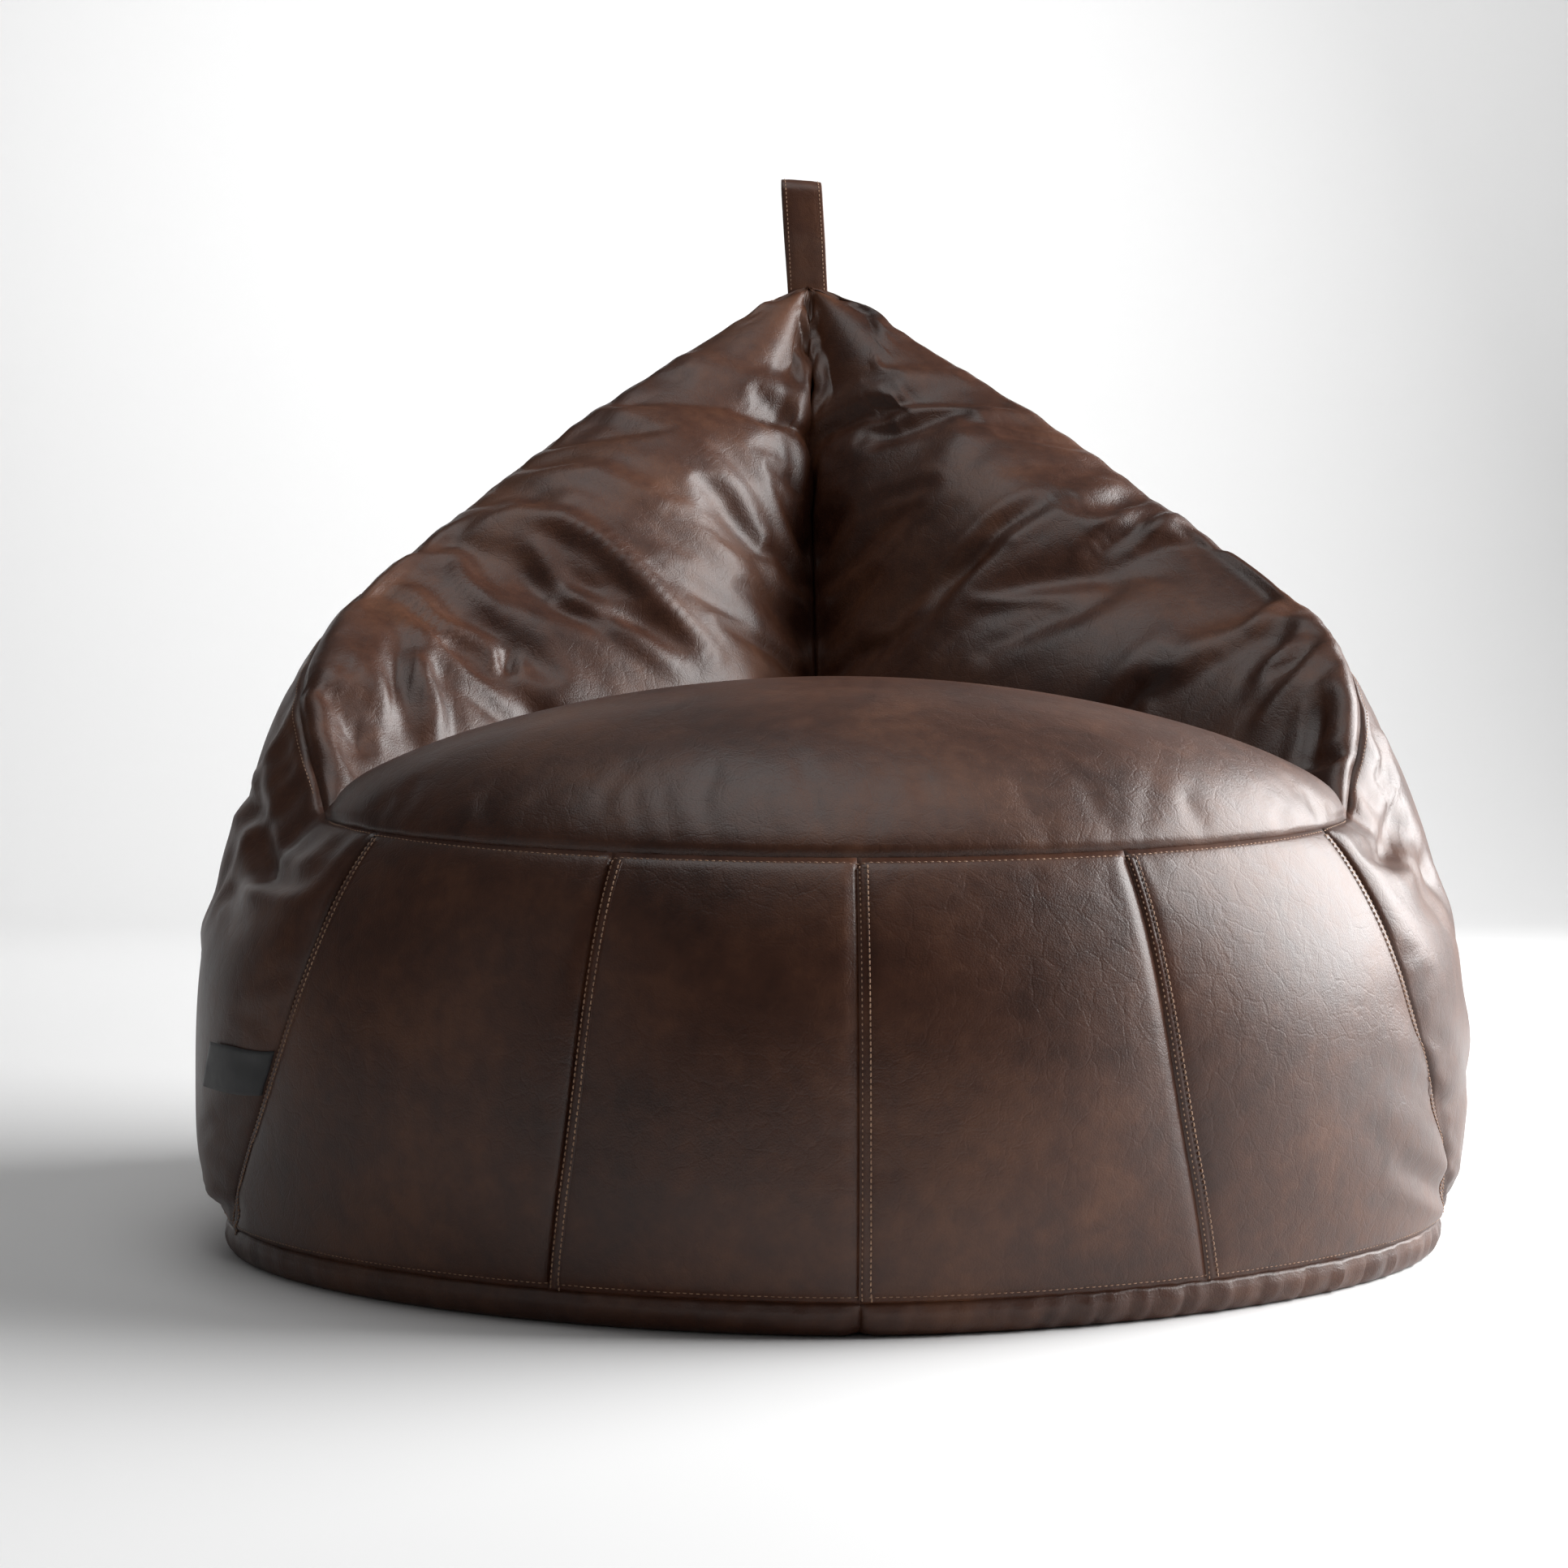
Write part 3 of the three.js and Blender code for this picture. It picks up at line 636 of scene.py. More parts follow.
def press_folds(cover):
    """Raises and sinks the leather along each fold, on its own panel only."""
    mesh = cover.data
    points, outwards, belongs = coordinates(mesh), facings(mesh), panels_touching(mesh)
    skin = surface_tree(mesh)
    rise = np.zeros(len(points))
    for side, sign in SIDES.items():
        jobs = {
            f"backrest_panel_{side}": (lobe_spot, LOBE_FOLDS[side]),
            f"outer_panel_{side}": (wall_spot, WALL_FOLDS[side] + BACK_FOLDS),
            f"front_panel_far_{side}": (wall_spot, WALL_FOLDS[side]),
        }
        for panel, (spot, folds) in jobs.items():
            of_panel = np.flatnonzero(belongs[:, PANELS.index(panel)])
            for places, width, height in folds:
                spots = [Vector(spot(*place) * [sign, 1, 1]) for place in places]
                line = through_points([np.array(skin.find_nearest(near)[0]) for near in spots], FOLD_STEPS)
                margin = FOLD_REACH * width / 1000
                low, high = line.min(axis=0) - margin, line.max(axis=0) + margin
                close = of_panel[((points[of_panel] > low) & (points[of_panel] < high)).all(axis=1)]
                rise[close] += fold_profile(points[close], line, width / 1000, height / 1000)
    rise[belongs.sum(axis=1) > 1] = 0
    move_to(mesh, points + outwards * rise[:, None])


def sink_seams(cover, depth=0.0022, width=0.0045):
    """Pulls the leather down along every seam, except in the deep valley and crease and by the zip."""
    mesh = cover.data
    points, outwards, belongs = coordinates(mesh), facings(mesh), panels_touching(mesh)
    lobes = touching_pair(belongs, "backrest_panel")
    inner = lobes.all(axis=1) | (lobes.any(axis=1) & belongs[:, PANELS.index("seat_panel")])
    by_zip = (np.abs(points[:, 0]) < 0.012) & (points[:, 1] > BACK - 0.02)
    seam = np.flatnonzero((belongs.sum(axis=1) > 1) & ~inner & ~by_zip)
    tree = KDTree(len(seam))
    for number, corner in enumerate(seam):
        tree.insert(points[corner], number)
    tree.balance()
    reach = np.array([tree.find(point)[2] for point in points])
    away = np.where(by_zip | inner, 0, np.exp(-((reach / width) ** 2)))
    move_to(mesh, points - outwards * (depth * away)[:, None])


GATHER_HEIGHT = 0.0012


def gather_hem(cover):
    """Small gathers in the base's rim, as the sewing draws it in. They are deeper on the right."""
    mesh = cover.data
    points, outwards, belongs = coordinates(mesh), facings(mesh), panels_touching(mesh)
    angle = np.degrees(np.arctan2(points[:, 0], MIDDLE_Y - points[:, 1]))
    on_curl = touching_pair(belongs, "base_panel").any(axis=1) & (points[:, 2] > 0.0005)
    curl = np.where(on_curl, np.sin(np.pi * np.clip(points[:, 2] / HEM_HEIGHT, 0, 1)), 0)
    waves = np.sin(angle * 1.9) + 0.7 * np.sin(angle * 3.1 + 1.0) + 0.5 * np.sin(angle * 0.8)
    strength = mix(0.4, 1.0, smoothstep(angle, 8, 30))
    points += outwards * (GATHER_HEIGHT * curl * waves * strength)[:, None]
    points[:, 2] = np.maximum(points[:, 2], 0)
    move_to(mesh, points)


def surface_tree(mesh):
    return BVHTree.FromPolygons(coordinates(mesh).tolist(), [tuple(face.vertices) for face in mesh.polygons])


# ---- Materials


def shader_of(material):
    return material.node_tree.nodes["Principled BSDF"]


def new_material(name, **constants):
    """A material with a Principled shader, whose named sockets are set."""
    material = bpy.data.materials.new(name)
    material.use_nodes = True
    for socket, value in constants.items():
        shader_of(material).inputs[socket.replace("_", " ")].default_value = value
    return material


def add_node(material, kind, **inputs):
    node = material.node_tree.nodes.new("ShaderNode" + kind)
    for socket, value in inputs.items():
        target = node.inputs[socket.replace("_", " ")]
        if isinstance(value, bpy.types.NodeSocket):
            material.node_tree.links.new(value, target)
        else:
            target.default_value = value
    return node


def place_of(material):
    return add_node(material, "TexCoord").outputs["Object"]


def connect(material, output, target):
    material.node_tree.links.new(output, target)


def noise(material, place, scale, detail, roughness=0.5):
    inputs = {"Vector": place, "Scale": scale, "Detail": detail, "Roughness": roughness}
    return add_node(material, "TexNoise", **inputs).outputs["Fac"]


def value_range(material, value, low, high, to_low, to_high):
    limits = {"From_Min": low, "From_Max": high, "To_Min": to_low, "To_Max": to_high}
    return add_node(material, "MapRange", Value=value, **limits).outputs["Result"]


def tint(material, factor, *steps):
    """The base colour, as a ramp through (place, colour) steps."""
    ramp = add_node(material, "ValToRGB", Fac=factor)
    elements = ramp.color_ramp.elements
    while len(elements) < len(steps):
        elements.new(0.5)
    for element, (place, colour) in zip(elements, steps):
        element.position = place
        element.color = (*colour, 1)
    connect(material, ramp.outputs["Color"], shader_of(material).inputs["Base Color"])


def gloss(material, factor, low, high, roughness):
    """The roughness, between two values as the factor goes from low to high."""
    result = value_range(material, factor, low, high, *roughness)
    connect(material, result, shader_of(material).inputs["Roughness"])


def bump(material, height, strength, distance):
    """Adds a bump over the bumps that the material has."""
    node = add_node(material, "Bump", Strength=strength, Distance=distance, Height=height)
    normal = shader_of(material).inputs["Normal"]
    if normal.is_linked:
        connect(material, normal.links[0].from_socket, node.inputs["Normal"])
    connect(material, node.outputs["Normal"], normal)


def leather(name, dark, middle, warm, roughness, grain):
    """Coated leather: mottled colour, pebble grain, fine creases and a broken-up gloss."""
    material = new_material(name, Specular_IOR_Level=0.38, Coat_Weight=0.1, Coat_Roughness=0.25)
    place = place_of(material)
    mottle = add_node(material, "Mix", Factor=0.28)
    connect(material, noise(material, place, 9.0, 7.0, 0.62), mottle.inputs["A"])
    connect(material, noise(material, place, 75.0, 4.0, 0.6), mottle.inputs["B"])
    tone = mottle.outputs["Result"]
    tint(material, tone, (0.36, dark), (0.5, middle), (0.64, warm))
    gloss(material, tone, 0.35, 0.65, roughness)

    warp = add_node(material, "TexNoise", Vector=place, Scale=30.0, Detail=3.0)
    bent = add_node(material, "VectorMath")
    bent.operation = "MULTIPLY_ADD"
    connect(material, warp.outputs["Color"], bent.inputs[0])
    bent.inputs[1].default_value = (0.03, 0.03, 0.03)
    connect(material, place, bent.inputs[2])
    bent_place = bent.outputs["Vector"]
    crazing = add_node(material, "TexVoronoi", Vector=bent_place, Scale=55.0)
    crazing.feature = "DISTANCE_TO_EDGE"
    lines = value_range(material, crazing.outputs["Distance"], 0.0, 0.06, 0.0, 1.0)
    pebbles = add_node(material, "TexVoronoi", Vector=place, Scale=grain, Randomness=1.0)
    bump(material, noise(material, bent_place, 45.0, 5.0, 0.55), 0.13, 0.004)
    bump(material, lines, 0.12, 0.0006)
    bump(material, pebbles.outputs["Distance"], 0.22, 0.0005)
    return material


# ---- Camera, floor and light


def camera():
    """A long lens low in front of the chair, a little to its left."""
    lens = bpy.data.cameras.new("camera")
    lens.lens = 67.0
    lens.sensor_width = 36.0
    eye = add_object("camera", lens)
    bearing = math.radians(2.4)
    ahead = Vector((math.sin(bearing), math.cos(bearing), 0))
    right = Vector((math.cos(bearing), -math.sin(bearing), 0))
    eye.location = -2.0 * ahead + Vector((0, 0, 0.332))
    target = -0.030 * right + Vector((0, 0, 0.296))
    eye.rotation_euler = (target - eye.location).to_track_quat("-Z", "Y").to_euler()
    scene.camera = eye


def softbox(name, place, aim, size, power):
    light = bpy.data.lights.new(name, "AREA")
    light.shape = "RECTANGLE"
    light.size, light.size_y = size
    light.energy = power
    box = add_object(name, light)
    box.location = place
    box.rotation_euler = (Vector(aim) - Vector(place)).to_track_quat("-Z", "Y").to_euler()


def studio():
    """A pale sweep of floor and back wall, a large key at the right and weak fill."""
    reach, bend, wall = 3.0, 1.2, 3.0
    arc = [(reach + bend * math.sin(a), bend - bend * math.cos(a)) for a in np.linspace(0, math.pi / 2, 12)]
    profile = [(-4.0, 0.0), *arc, (reach + bend, wall)]
    points = [(x, y, z) for y, z in profile for x in (-5.0, 5.0)]
    faces = [(2 * i, 2 * i + 1, 2 * i + 3, 2 * i + 2) for i in range(len(profile) - 1)]
    paint = new_material("studio_floor", Base_Color=(0.82, 0.82, 0.82, 1), Roughness=0.7)
    sweep = new_object("studio_sweep", points, faces, paint)
    softbox("key", (2.2, 0.25, 1.3), (0.0, -0.1, 0.35), (2.4, 2.0), 195)
    softbox("top", (-0.2, -0.2, 2.6), (0.0, 0.0, 0.3), (1.6, 1.4), 16)
    softbox("fill", (-2.4, -1.6, 1.0), (0.0, 0.0, 0.35), (1.2, 1.6), 2)
    softbox("wall", (0.0, 1.9, 2.4), (0.0, 4.2, 1.0), (4.0, 1.0), 60)
    world = bpy.data.worlds.new("studio")
    world.use_nodes = True
    background = world.node_tree.nodes["Background"].inputs
    background["Color"].default_value = (1, 1, 1, 1)
    background["Strength"].default_value = 0.09
    scene.world = world
    scene.view_settings.view_transform = "Standard"


# ---- The cover's panels and the bag inside it


def open_zip_slot(points):
    """Moves a panel's edge up the middle of the back away from the zip."""
    side = np.sign(points[:, 0].sum())
    points[near_zip(points, aside=0.001, beyond=-0.001), 0] = side * ZIP_HALF_SLOT


def turn_edges_in(piece, depth=0.003):
    """Adds the cut edge all round a panel, turned in along its seams."""
    mesh = bmesh.new()
    mesh.from_mesh(piece.data)
    mesh.normal_update()
    edges = [edge for edge in mesh.edges if edge.is_boundary]
    made = bmesh.ops.extrude_edge_only(mesh, edges=edges)["geom"]
    for corner in [item for item in made if isinstance(item, bmesh.types.BMVert)]:
        others = [edge.other_vert(corner) for edge in corner.link_edges]
        old = next(other for other in others if other not in made)
        corner.co = old.co - old.normal * depth
        corner.co.z = max(corner.co.z, 0.0002)
    mesh.to_mesh(piece.data)
    mesh.free()
    piece.data.polygons.foreach_set("use_smooth", [True] * len(piece.data.polygons))


def cover_panels(cover, material):
    """One object for each panel, cut from the cover along its seams."""
    mesh = cover.data
    points = coordinates(mesh)
    panel_of_face = panel_numbers(mesh)
    corners = [list(face.vertices) for face in mesh.polygons]
    for number, panel in enumerate(PANELS):
        faces = [corners[i] for i in np.flatnonzero(panel_of_face == number)]
        used = sorted({corner for face in faces for corner in face})
        place = {old: new for new, old in enumerate(used)}
        own = points[used]
        if panel.startswith("outer_panel"):
            open_zip_slot(own)
        piece = new_object(f"cover_{panel}", own, [[place[c] for c in face] for face in faces], material)
        turn_edges_in(piece)
        stands_for(piece, "chair", panel)


# How deep the bag and its beads lie, and how far they stay from the zip, the valley and the peak.
LINER_DEPTH, FILLING_DEPTH = 0.009, 0.011
ZIP_GAP, VALLEY_GAP, PEAK_GAP = 0.006, 0.014, 0.090
NEAR = 0.03


def inner_layer(coarse, tree, name, depth, material, node):
    """A layer of the bag inside: the finished cover, smaller, and clear of the zip, valley and peak."""
    points, outwards, faces = coarse
    near_middle = np.abs(points[:, 0]) < NEAR
    behind_zip = near_middle & (points[:, 1] > BACK - NEAR)
    above_crease = (points[:, 2] > CREASE_HEIGHT + NEAR) & (points[:, 1] > valley(0.0)[1])
    behind_valley = near_middle & ~behind_zip & above_crease
    inside = np.array([tree.find_nearest(Vector(point))[0] for point in points]) - outwards * depth
    inside[behind_zip, 1] -= ZIP_GAP
    inside[behind_valley, 1] += VALLEY_GAP
    inside[:, 2] = np.minimum(inside[:, 2], PEAK[2] - PEAK_GAP - depth)
    piece = new_object(name, inside, faces, material)
    stands_for(piece, "chair", node)


# ---- Sewing


def side_line(line, tree, offset, pitch):
    """Evenly spaced places beside a seam, each with the ways along, across and out of the leather."""
    length = np.linalg.norm(np.diff(line, axis=0), axis=1).sum()
    line = evenly_spaced(line, max(2, round(length / pitch)))
    places, ways = [], []
    for point, forward in zip(line, directions(line)):
        _, facing, _, _ = tree.find_nearest(Vector(point))
        across = Vector(forward).cross(facing).normalized()
        place, facing, _, _ = tree.find_nearest(Vector(point) + across * offset)
        across = Vector(forward).cross(facing).normalized()
        places.append(place)
        ways.append((forward, across, facing))
    return np.array(places), np.array(ways)


# A seam's strip, as (distance from the joint, height) in millimetres. Each stitch row lies in a dip.
STRIP_PROFILE = [
    *[(-0.3, -1.5), (0.0, 0.1), (0.5, 0.6), (1.2, 0.45), (2.2, 1.0)],
    *[(3.8, 1.3), (5.4, 1.0), (6.4, 0.4), (7.2, 0.5), (7.7, 0.1), (8.0, -1.5)],
]
STRIP_ROWS = (0.0012, 0.0067)
STRIP_STEP = 0.004


def seam_strip(name, line, tree, side, material):
    """A lapped seam: a narrow raised strip of leather beside the joint line, between two stitch rows."""
    places, ways = side_line(line, tree, 0.0, STRIP_STEP)
    rows = []
    for offset, height in STRIP_PROFILE:
        beside = [tree.find_nearest(Vector(p + w[1] * side * offset / 1000)) for p, w in zip(places, ways)]
        rows.append([np.array(spot[0]) + np.array(spot[1]) * height / 1000 for spot in beside])
    grid = np.array(rows).transpose(1, 0, 2)
    faces = grid_faces(*grid.shape[:2])
    if side < 0:
        faces = [face[::-1] for face in faces]
    piece = new_object(name, grid.reshape(-1, 3), faces, material)
    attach(piece, "chair")


STITCH_SIDES = 6
STITCH_RINGS = [(-1.0, 0.35), (-0.75, 0.85), (0.0, 1.0), (0.75, 0.85), (1.0, 0.35)]


def stitches(name, rows, material, length=0.0025, radius=0.0005):
    """Rows of stitches as one object. Each stitch is a short bead of thread that dips at its ends."""
    turn = np.arange(STITCH_SIDES) * 2 * np.pi / STITCH_SIDES
    bead = np.array([
        (share * length / 2, size * radius * math.cos(a), size * radius * math.sin(a) - radius * share**2)
        for share, size in STITCH_RINGS
        for a in turn
    ])
    bead_faces = tube_faces(len(STITCH_RINGS), STITCH_SIDES)
    points, faces = [], []
    for places, ways in rows:
        for place, way in zip(places, ways):
            first = len(points)
            points.extend(place + bead @ way)
            faces.extend([[first + corner for corner in face] for face in bead_faces])
    piece = new_object(name, points, faces, material)
    return piece


def front_seam(side, which):
    """A front seam's line, from the hem up. The middle one is "centre"."""
    angles = FRONT_SEAMS[side][which] if which != "centre" else (0.0, 0.0)
    columns = front_columns(angles, angles, 1, 0.0)
    return wall_surface(columns, np.linspace(0.02, 0.985, 90))[0] * [SIDES[side], 1, 1]


def raised(row, height):
    places, ways = row
    return places + ways[:, 2] * height, ways


def sew_front(tree, leather_finish, thread):
    """A strip and two stitch rows up each front seam. The strip lies on the seam's right, or left at -1."""
    seams = {"left_outer": 1, "left_inner": 1, "left_centre": 1, "right_inner": 1, "right_outer": -1}
    pitch = 0.0034
    rows = []
    for seam, way in seams.items():
        side, which = seam.split("_")
        line = front_seam(side, which)
        name = "front_seam_strip_centre" if which == "centre" else f"front_seam_strip_{seam}"
        seam_strip(name, line, tree, way, leather_finish)
        for offset in STRIP_ROWS:
            rows.append(raised(side_line(line, tree, way * offset, pitch), 0.0009))
    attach(stitches("front_seam_stitches", rows, thread), "chair")


def sew_round(tree, thread):
    """Single rows of stitches below the seat seam, above the hem and outside the ridge."""
    pitch, beside = 0.0038, 0.0035
    seat_line = np.concatenate([
        seat_seam(np.linspace(76, 0, 120)) * [-1, 1, 1],
        seat_seam(np.linspace(0.5, 76, 120)),
    ])
    hem_angles = np.linspace(-179, 179, 400)
    x, y = outline(np.abs(hem_angles), HEM_INSET, HEM_SIDE_INSET)
    hem_line = points_from(x * np.sign(hem_angles), y, HEM_HEIGHT)
    rows = [
        side_line(seat_line - [0, 0, beside], tree, 0.0, pitch),
        side_line(hem_line + [0, 0, beside], tree, 0.0, pitch),
    ]
    for sign in SIDES.values():
        ridge_line = ridge(np.linspace(0.03, 0.97, 200)) * [sign, 1, 1]
        rows.append(side_line(ridge_line + [sign * 0.003, 0.002, -0.002], tree, 0.0, pitch))
    rows = [raised(row, 0.0001) for row in rows]
    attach(stitches("cover_seam_stitches", rows, thread, radius=0.00034), "chair")


# ---- The carry handle


STRAP_THICKNESS = 0.0024
STRAP_HALF_WIDTH = (handle_high.x - handle_low.x) / 2
HANDLE_Y = (handle_high.y + handle_low.y) / 2
HANDLE_ROOT = PEAK[2] - 0.013
HANDLE_HEIGHT = handle_high.z - HANDLE_ROOT
HANDLE_LEAN = 0.006
HANDLE_TILT = 0.07


def handle_path():
    """The strap's middle line, from the root round the loop and back to it."""
    half, apart = 0.0125, 0.0012
    top = handle_high.z - 0.0014
    climb = np.linspace(0, 1, 16, endpoint=False)
    leg = [
        (half * smoothstep(share, 0.12, 0.7) + apart, mix(HANDLE_ROOT, top - half, share))
        for share in climb
    ]
    arch = [
        (half * math.cos(a) + apart * math.cos(a), top - half + half * math.sin(a))
        for a in np.linspace(0, math.pi, 17)
    ]
    loop = [*[(-y, z) for y, z in leg], *arch[::-1], *leg[::-1]]
    return np.array([(0.0, HANDLE_Y + y, z) for y, z in loop])


def strap_section():
    """The strap's section as (across, out): padded in its middle and thin at its stitched edges."""
    shares = np.linspace(-1, 1, 13)
    top = [
        (share * STRAP_HALF_WIDTH, STRAP_THICKNESS * (0.5 - 0.18 * smoothstep(abs(share), 0.6, 0.82)))
        for share in shares
    ]
    edge = STRAP_HALF_WIDTH + 0.0003
    return [*top, (edge, 0.0), *[(x, -y) for x, y in top[::-1]], (-edge, 0.0)]


def lean(points):
    """The loop leans a little to the left, and its top edge slopes down to the right."""
    share = np.clip((points[..., 2:3] - HANDLE_ROOT) / HANDLE_HEIGHT, 0, 1)
    drop = -points[..., 0:1] * HANDLE_TILT * share
    return points + np.concatenate([-HANDLE_LEAN * share, 0 * share, drop], axis=-1)


def bend_at_root(piece):
    """Bakes the piece's placement into its points."""
    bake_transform(piece)


def carry_handle(finish, thread):
    """The strap's loop, and a stitch row beside each of its edges on both faces."""
    path = handle_path()
    outwards = np.cross(directions(path), [1.0, 0.0, 0.0])
    section = strap_section()
    grid = np.array([[p + n * h + np.array([x, 0, 0]) for x, h in section] for p, n in zip(path, outwards)])
    faces = [face[::-1] for face in tube_faces(len(path), len(section))]
    strap = new_object("carry_handle_strap", lean(grid).reshape(-1, 3), faces, finish)
    subdivide(strap)
    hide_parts("carry_handle")
    bend_at_root(strap)

    pitch, from_edge, height = 0.0032, 0.0026, 0.0010
    spaced = evenly_spaced(path, round(2 * HANDLE_HEIGHT / pitch))
    forward = directions(spaced)
    rows = []
    for edge in (-1, 1):
        shift = np.array([edge * (STRAP_HALF_WIDTH - from_edge), 0, 0])
        for face in (1, -1):
            facing = face * np.cross(forward, [1.0, 0.0, 0.0])
            ways = np.stack([forward, np.cross(facing, forward), facing], axis=1)
            rows.append((lean(spaced + shift + facing * height), ways))
    bend_at_root(stitches("carry_handle_stitches", rows, thread, length=0.0022, radius=0.00036))


# ---- The care label


def care_label(tree, finish):
    """A satin label that lies back over the outer panel from the seam it is sewn into."""
    hinge = next(joint for joint in frame["joints"] if joint["name"] == "label_fold")
    root = np.array(hinge["pos_m"], float)
    along = np.array(hinge["axis"], float)
    low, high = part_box("care_label")
    back = (np.array(low) + np.array(high)) - 2 * root
    length = np.linalg.norm(back - along * (back @ along))
    back /= length
    height, hem = 0.033, 0.001
    rows, columns = 24, 12
    grid = np.zeros((rows + 1, columns + 1, 3))
    for i, share in enumerate(np.linspace(0, 1, rows + 1)):
        for j, side in enumerate(np.linspace(-0.5, 0.5, columns + 1)):
            flat = root + back * (hem + share * (length - 2 * hem)) + along * side * height
            place, facing, _, _ = tree.find_nearest(Vector(flat))
            lift = 0.0008 + 0.0022 * share**2 + 0.0004 * math.sin(3 * math.pi * share) * side
            grid[i, j] = np.array(place) + np.array(facing) * lift
    piece = new_object("care_label_satin", grid.reshape(-1, 3), grid_faces(rows + 1, columns + 1), finish)
    thick = piece.modifiers.new("thick", "SOLIDIFY")
    thick.thickness = 0.0005
    thick.offset = 0
    stands_for(piece, "label", "care_label")


# ---- The zip


def zip_coil(side, finish):
    """Half of a nylon coil, as a wire wound round and round up the tape's edge."""
    low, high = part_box(f"zip_coil_{side}")
    sign = SIDES[side]
    wire, pitch, per_turn = 0.00034, 0.0016, 14
    inner, outer = 0.00055, max(abs(low.x), abs(high.x))
    middle_x, middle_y = (inner + outer) / 2, (low.y + high.y) / 2
    reach_x, reach_y = (outer - inner) / 2 - wire, (high.y - low.y) / 2 - wire
    turns = (high.z - low.z - 2 * wire) / pitch
    wind = np.arange(int(turns * per_turn)) * 2 * np.pi / per_turn
    path = points_from(
        sign * (middle_x + reach_x * np.cos(wind)),
        middle_y + reach_y * np.sin(wind),
        low.z + wire + pitch * wind / (2 * np.pi),
    )
    teeth = wire_tube(f"zip_teeth_{side}", path, wire, finish)
    stands_for(teeth, "chair", f"zip_coil_{side}")


def wire_tube(name, path, radius, finish):
    """A round wire along a path that never runs straight up."""
    sides = 6
    along = directions(path)
    first = np.cross(along, [0.0, 0.0, 1.0])
    first /= np.linalg.norm(first, axis=1, keepdims=True)
    second = np.cross(along, first)
    turn = np.arange(sides) * 2 * np.pi / sides
    ring = first[:, None] * np.cos(turn)[None, :, None] + second[:, None] * np.sin(turn)[None, :, None]
    points = (path[:, None] + ring * radius).reshape(-1, 3)
    return new_object(name, points, tube_faces(len(path), sides), finish)


def upright_edges(mesh):
    return [edge for edge in mesh.edges if abs(edge.verts[0].co.z - edge.verts[1].co.z) > 0.01]


def ribbon(name, node, finish):
    """A woven ribbon in place of a CAD strip: soft edges and a faint waviness up its length."""
    low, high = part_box(node)
    mesh = bmesh.new()
    bmesh.ops.create_cube(mesh, size=1)
    for corner in mesh.verts:
        corner.co = Vector([mix(low[k], high[k], corner.co[k] + 0.5) for k in range(3)])
    bmesh.ops.bevel(mesh, geom=upright_edges(mesh), offset=0.00022, segments=2, affect="EDGES")
    bmesh.ops.subdivide_edges(mesh, edges=upright_edges(mesh), cuts=60, use_grid_fill=True)
    for corner in mesh.verts:
        corner.co.y -= 0.00012 * (1 + math.sin(corner.co.z * 260 + corner.co.x * 90))
    data = bpy.data.meshes.new(name)
    mesh.to_mesh(data)
    mesh.free()
    data.materials.append(finish)
    stands_for(add_object(name, data), "chair", node)


def dress_metal(finish):
    """The zip's metal nodes keep their CAD shape, with softened edges and a brass finish."""
    for node in ("zip_slider", "zip_pull", "zip_top_stop", "zip_bottom_stop"):
        piece = frame["nodes"][node]
        piece.data.materials.clear()
        piece.data.materials.append(finish)
        soften = piece.modifiers.new("soften", "BEVEL")
        soften.width = 0.00025
        soften.segments = 2


# ---- The other finishes


def ribs(material, place, scale, direction):
    wave = add_node(material, "TexWave", Vector=place, Scale=scale)
    wave.bands_direction = direction
    return wave.outputs["Fac"]


def times(material, a, b):
    node = add_node(material, "Math")
    node.operation = "MULTIPLY"
    connect(material, a, node.inputs[0])
    connect(material, b, node.inputs[1])
    return node.outputs[0]


def tan_thread():
    """Twisted sewing thread, slightly uneven in colour."""
    material = new_material("tan_thread", Roughness=0.6, Sheen_Weight=0.2)
    place = place_of(material)
    tint(material, noise(material, place, 40.0, 3.0), (0.3, (0.20, 0.10, 0.055)), (0.7, (0.42, 0.25, 0.15)))
    bump(material, ribs(material, place, 1400.0, "DIAGONAL"), 0.4, 0.0002)
    return material


def hazy(name, scale, detail, dark, pale, roughness, **constants):
    """A finish whose colour and gloss both follow one noise. Gives the material and the noise."""
    material = new_material(name, **constants)
    haze = noise(material, place_of(material), scale, detail)
    tint(material, haze, dark, pale)
    gloss(material, haze, 0.3, 0.7, roughness)
    return material, haze


def nylon():
    """Dark moulded nylon."""
    dark, pale = (0.3, (0.012, 0.008, 0.007)), (0.7, (0.022, 0.015, 0.012))
    return hazy("dark_nylon", 300.0, 3.0, dark, pale, (0.32, 0.48), Specular_IOR_Level=0.5)[0]


def antique_brass():
    """Cast brass with a dark patina in spots, which also breaks up its shine."""
    dark, pale = (0.35, (0.16, 0.11, 0.055)), (0.65, (0.36, 0.26, 0.13))
    material, patina = hazy("antique_brass", 260.0, 6.0, dark, pale, (0.28, 0.5), Metallic=1.0)
    bump(material, patina, 0.15, 0.0002)
    return material


def black_satin():
    """Woven satin: fine crossed threads with a soft streaky sheen."""
    dark, pale = (0.35, (0.004, 0.004, 0.005)), (0.7, (0.011, 0.011, 0.013))
    material = hazy("black_satin", 120.0, 4.0, dark, pale, (0.34, 0.5), Sheen_Weight=0.15)[0]
    place = place_of(material)
    weave = times(material, ribs(material, place, 900.0, "Z"), ribs(material, place, 700.0, "Y"))
    bump(material, weave, 0.3, 0.0002)
    return material


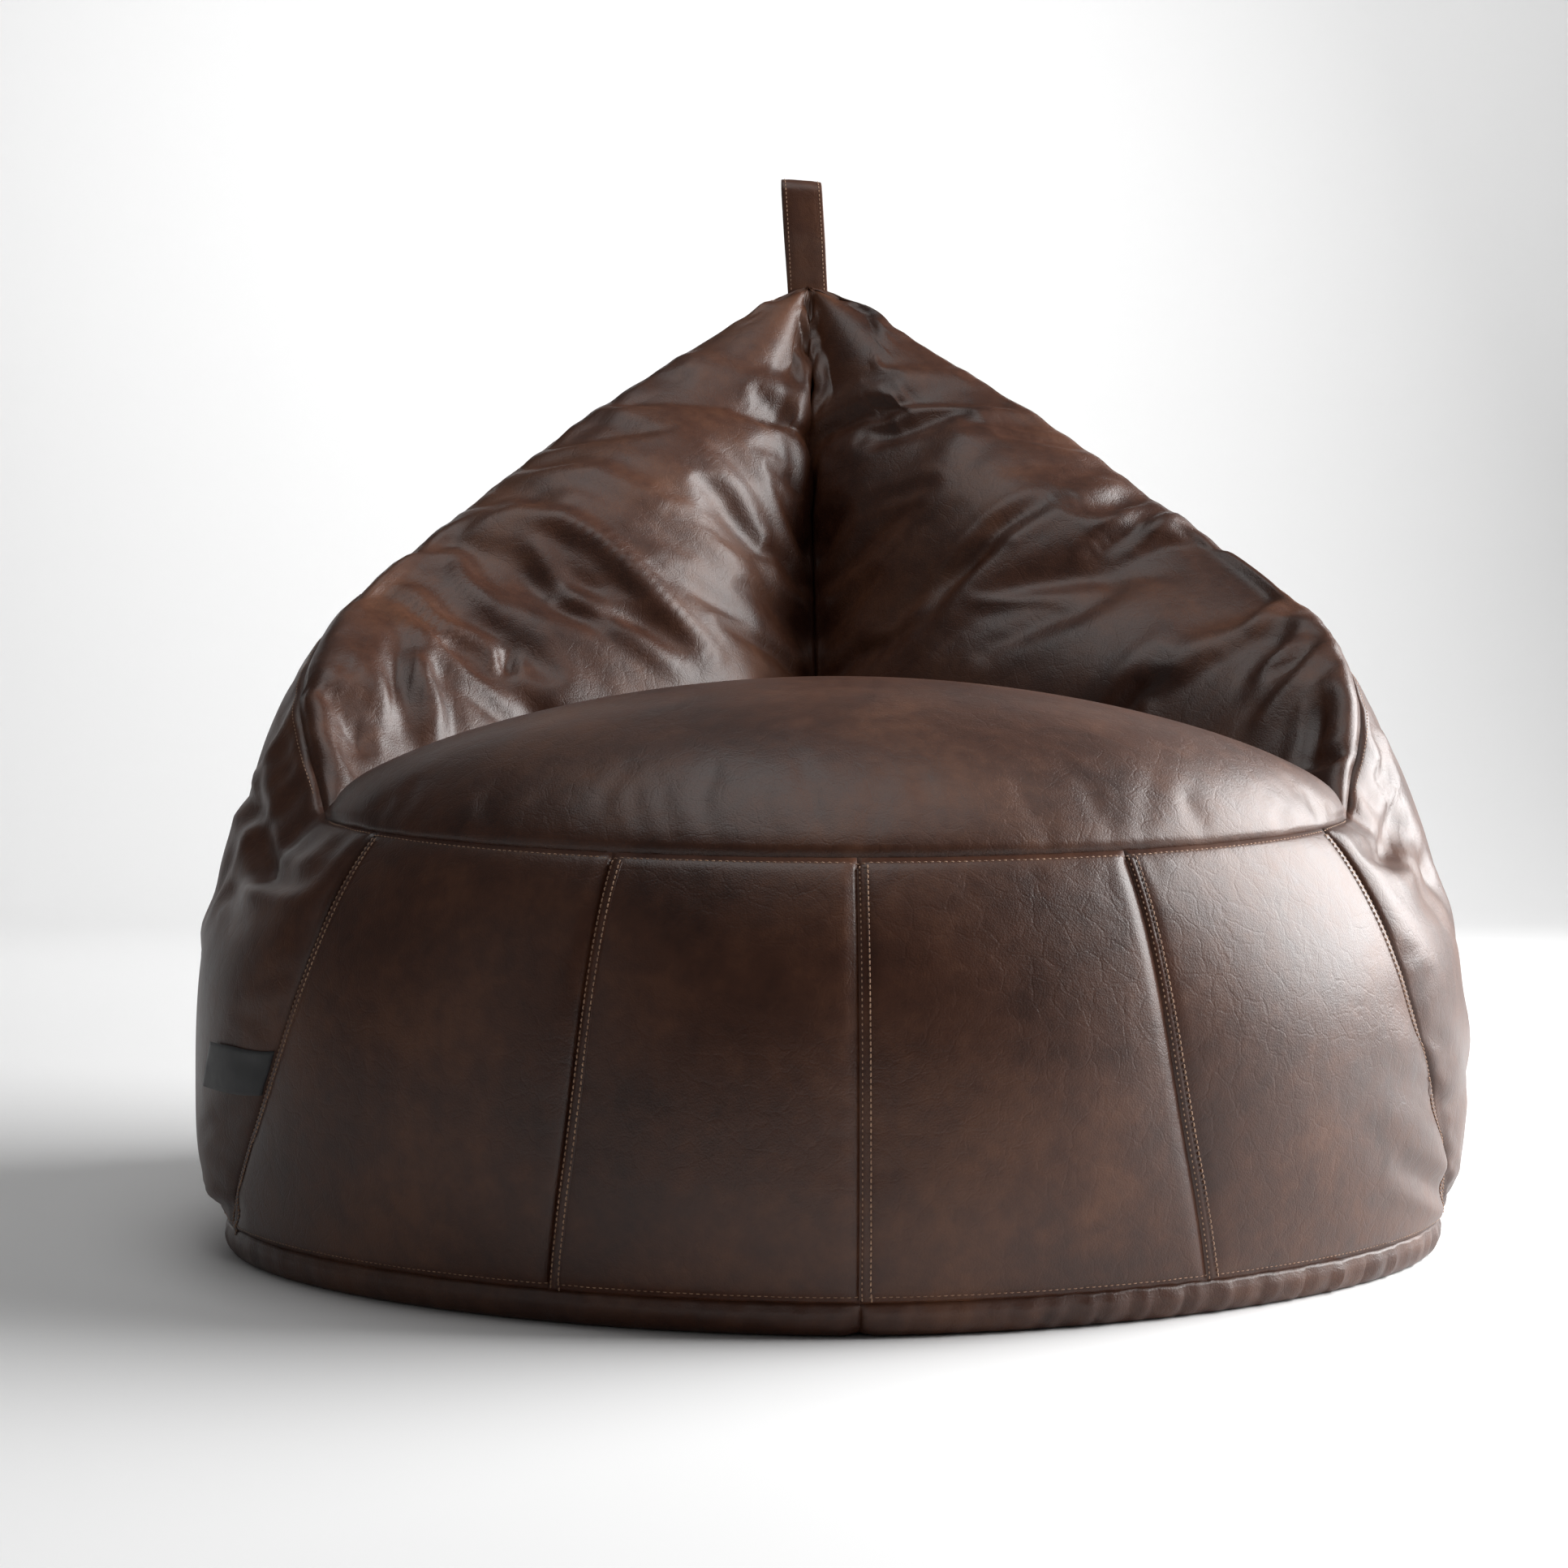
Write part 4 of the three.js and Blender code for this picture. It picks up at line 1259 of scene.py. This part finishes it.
def woven_cloth(name, dark, pale, scale, roughness):
    """Plain-woven cloth or tape: crossed threads, with a slightly uneven dye."""
    material = new_material(name, Roughness=roughness, Sheen_Weight=0.3)
    place = place_of(material)
    tint(material, noise(material, place, 60.0, 5.0), (0.3, dark), (0.7, pale))
    weave = times(material, ribs(material, place, scale, "X"), ribs(material, place, scale, "Z"))
    bump(material, weave, 0.6, 0.0003)
    return material


def white_beads_painted_gap_shade():
    """Polystyrene beads, packed close, each pale at its middle, with painted shade in the gaps between
    beads.
    """
    material = new_material("white_beads_painted_gap_shade", Roughness=0.75)
    beads = add_node(material, "TexVoronoi", Vector=place_of(material), Scale=260.0)
    # Painted shade: the colour darkens from each bead's middle into the gaps between beads, where shade
    # would fall.
    tint(material, beads.outputs["Distance"], (0.0, (0.9, 0.9, 0.87)), (0.6, (0.62, 0.62, 0.6)))
    bump(material, beads.outputs["Distance"], -0.8, 0.002)
    return material


# ---- The scene

camera()
studio()
DARK, MIDDLE, WARM = (0.027, 0.0078, 0.0032), (0.050, 0.0157, 0.0063), (0.083, 0.0295, 0.0120)
brown_leather = leather("brown_leather", DARK, MIDDLE, WARM, (0.38, 0.48), 900.0)
strap_leather = leather("strap_leather", DARK, MIDDLE, WARM, (0.42, 0.5), 1100.0)
thread = tan_thread()
liner_cloth = woven_cloth("liner_cloth", (0.68, 0.66, 0.62), (0.82, 0.8, 0.76), 500.0, 0.85)
tape_cloth = woven_cloth("zip_tape_cloth", (0.010, 0.007, 0.006), (0.02, 0.013, 0.011), 900.0, 0.8)

cover = stitched_cover()
buckle(cover)
coarse = coordinates(cover.data), facings(cover.data), [list(face.vertices) for face in cover.data.polygons]
subdivide(cover)
press_folds(cover)
gather_hem(cover)
sink_seams(cover)
cover_tree = surface_tree(cover.data)
cover_panels(cover, brown_leather)
inner_layer(coarse, cover_tree, "bead_bag_liner", LINER_DEPTH, liner_cloth, "inner_liner")
inner_layer(coarse, cover_tree, "bead_bag_filling", FILLING_DEPTH, white_beads_painted_gap_shade(), "bead_filling")
sew_front(cover_tree, brown_leather, thread)
sew_round(cover_tree, thread)
carry_handle(strap_leather, thread)
care_label(cover_tree, black_satin())
bpy.data.objects.remove(cover)

dark_nylon = nylon()
for side in SIDES:
    zip_coil(side, dark_nylon)
    ribbon(f"zip_ribbon_{side}", f"zip_tape_{side}", tape_cloth)
ribbon("liner_closing_strip", "liner_closure", liner_cloth)
dress_metal(antique_brass())
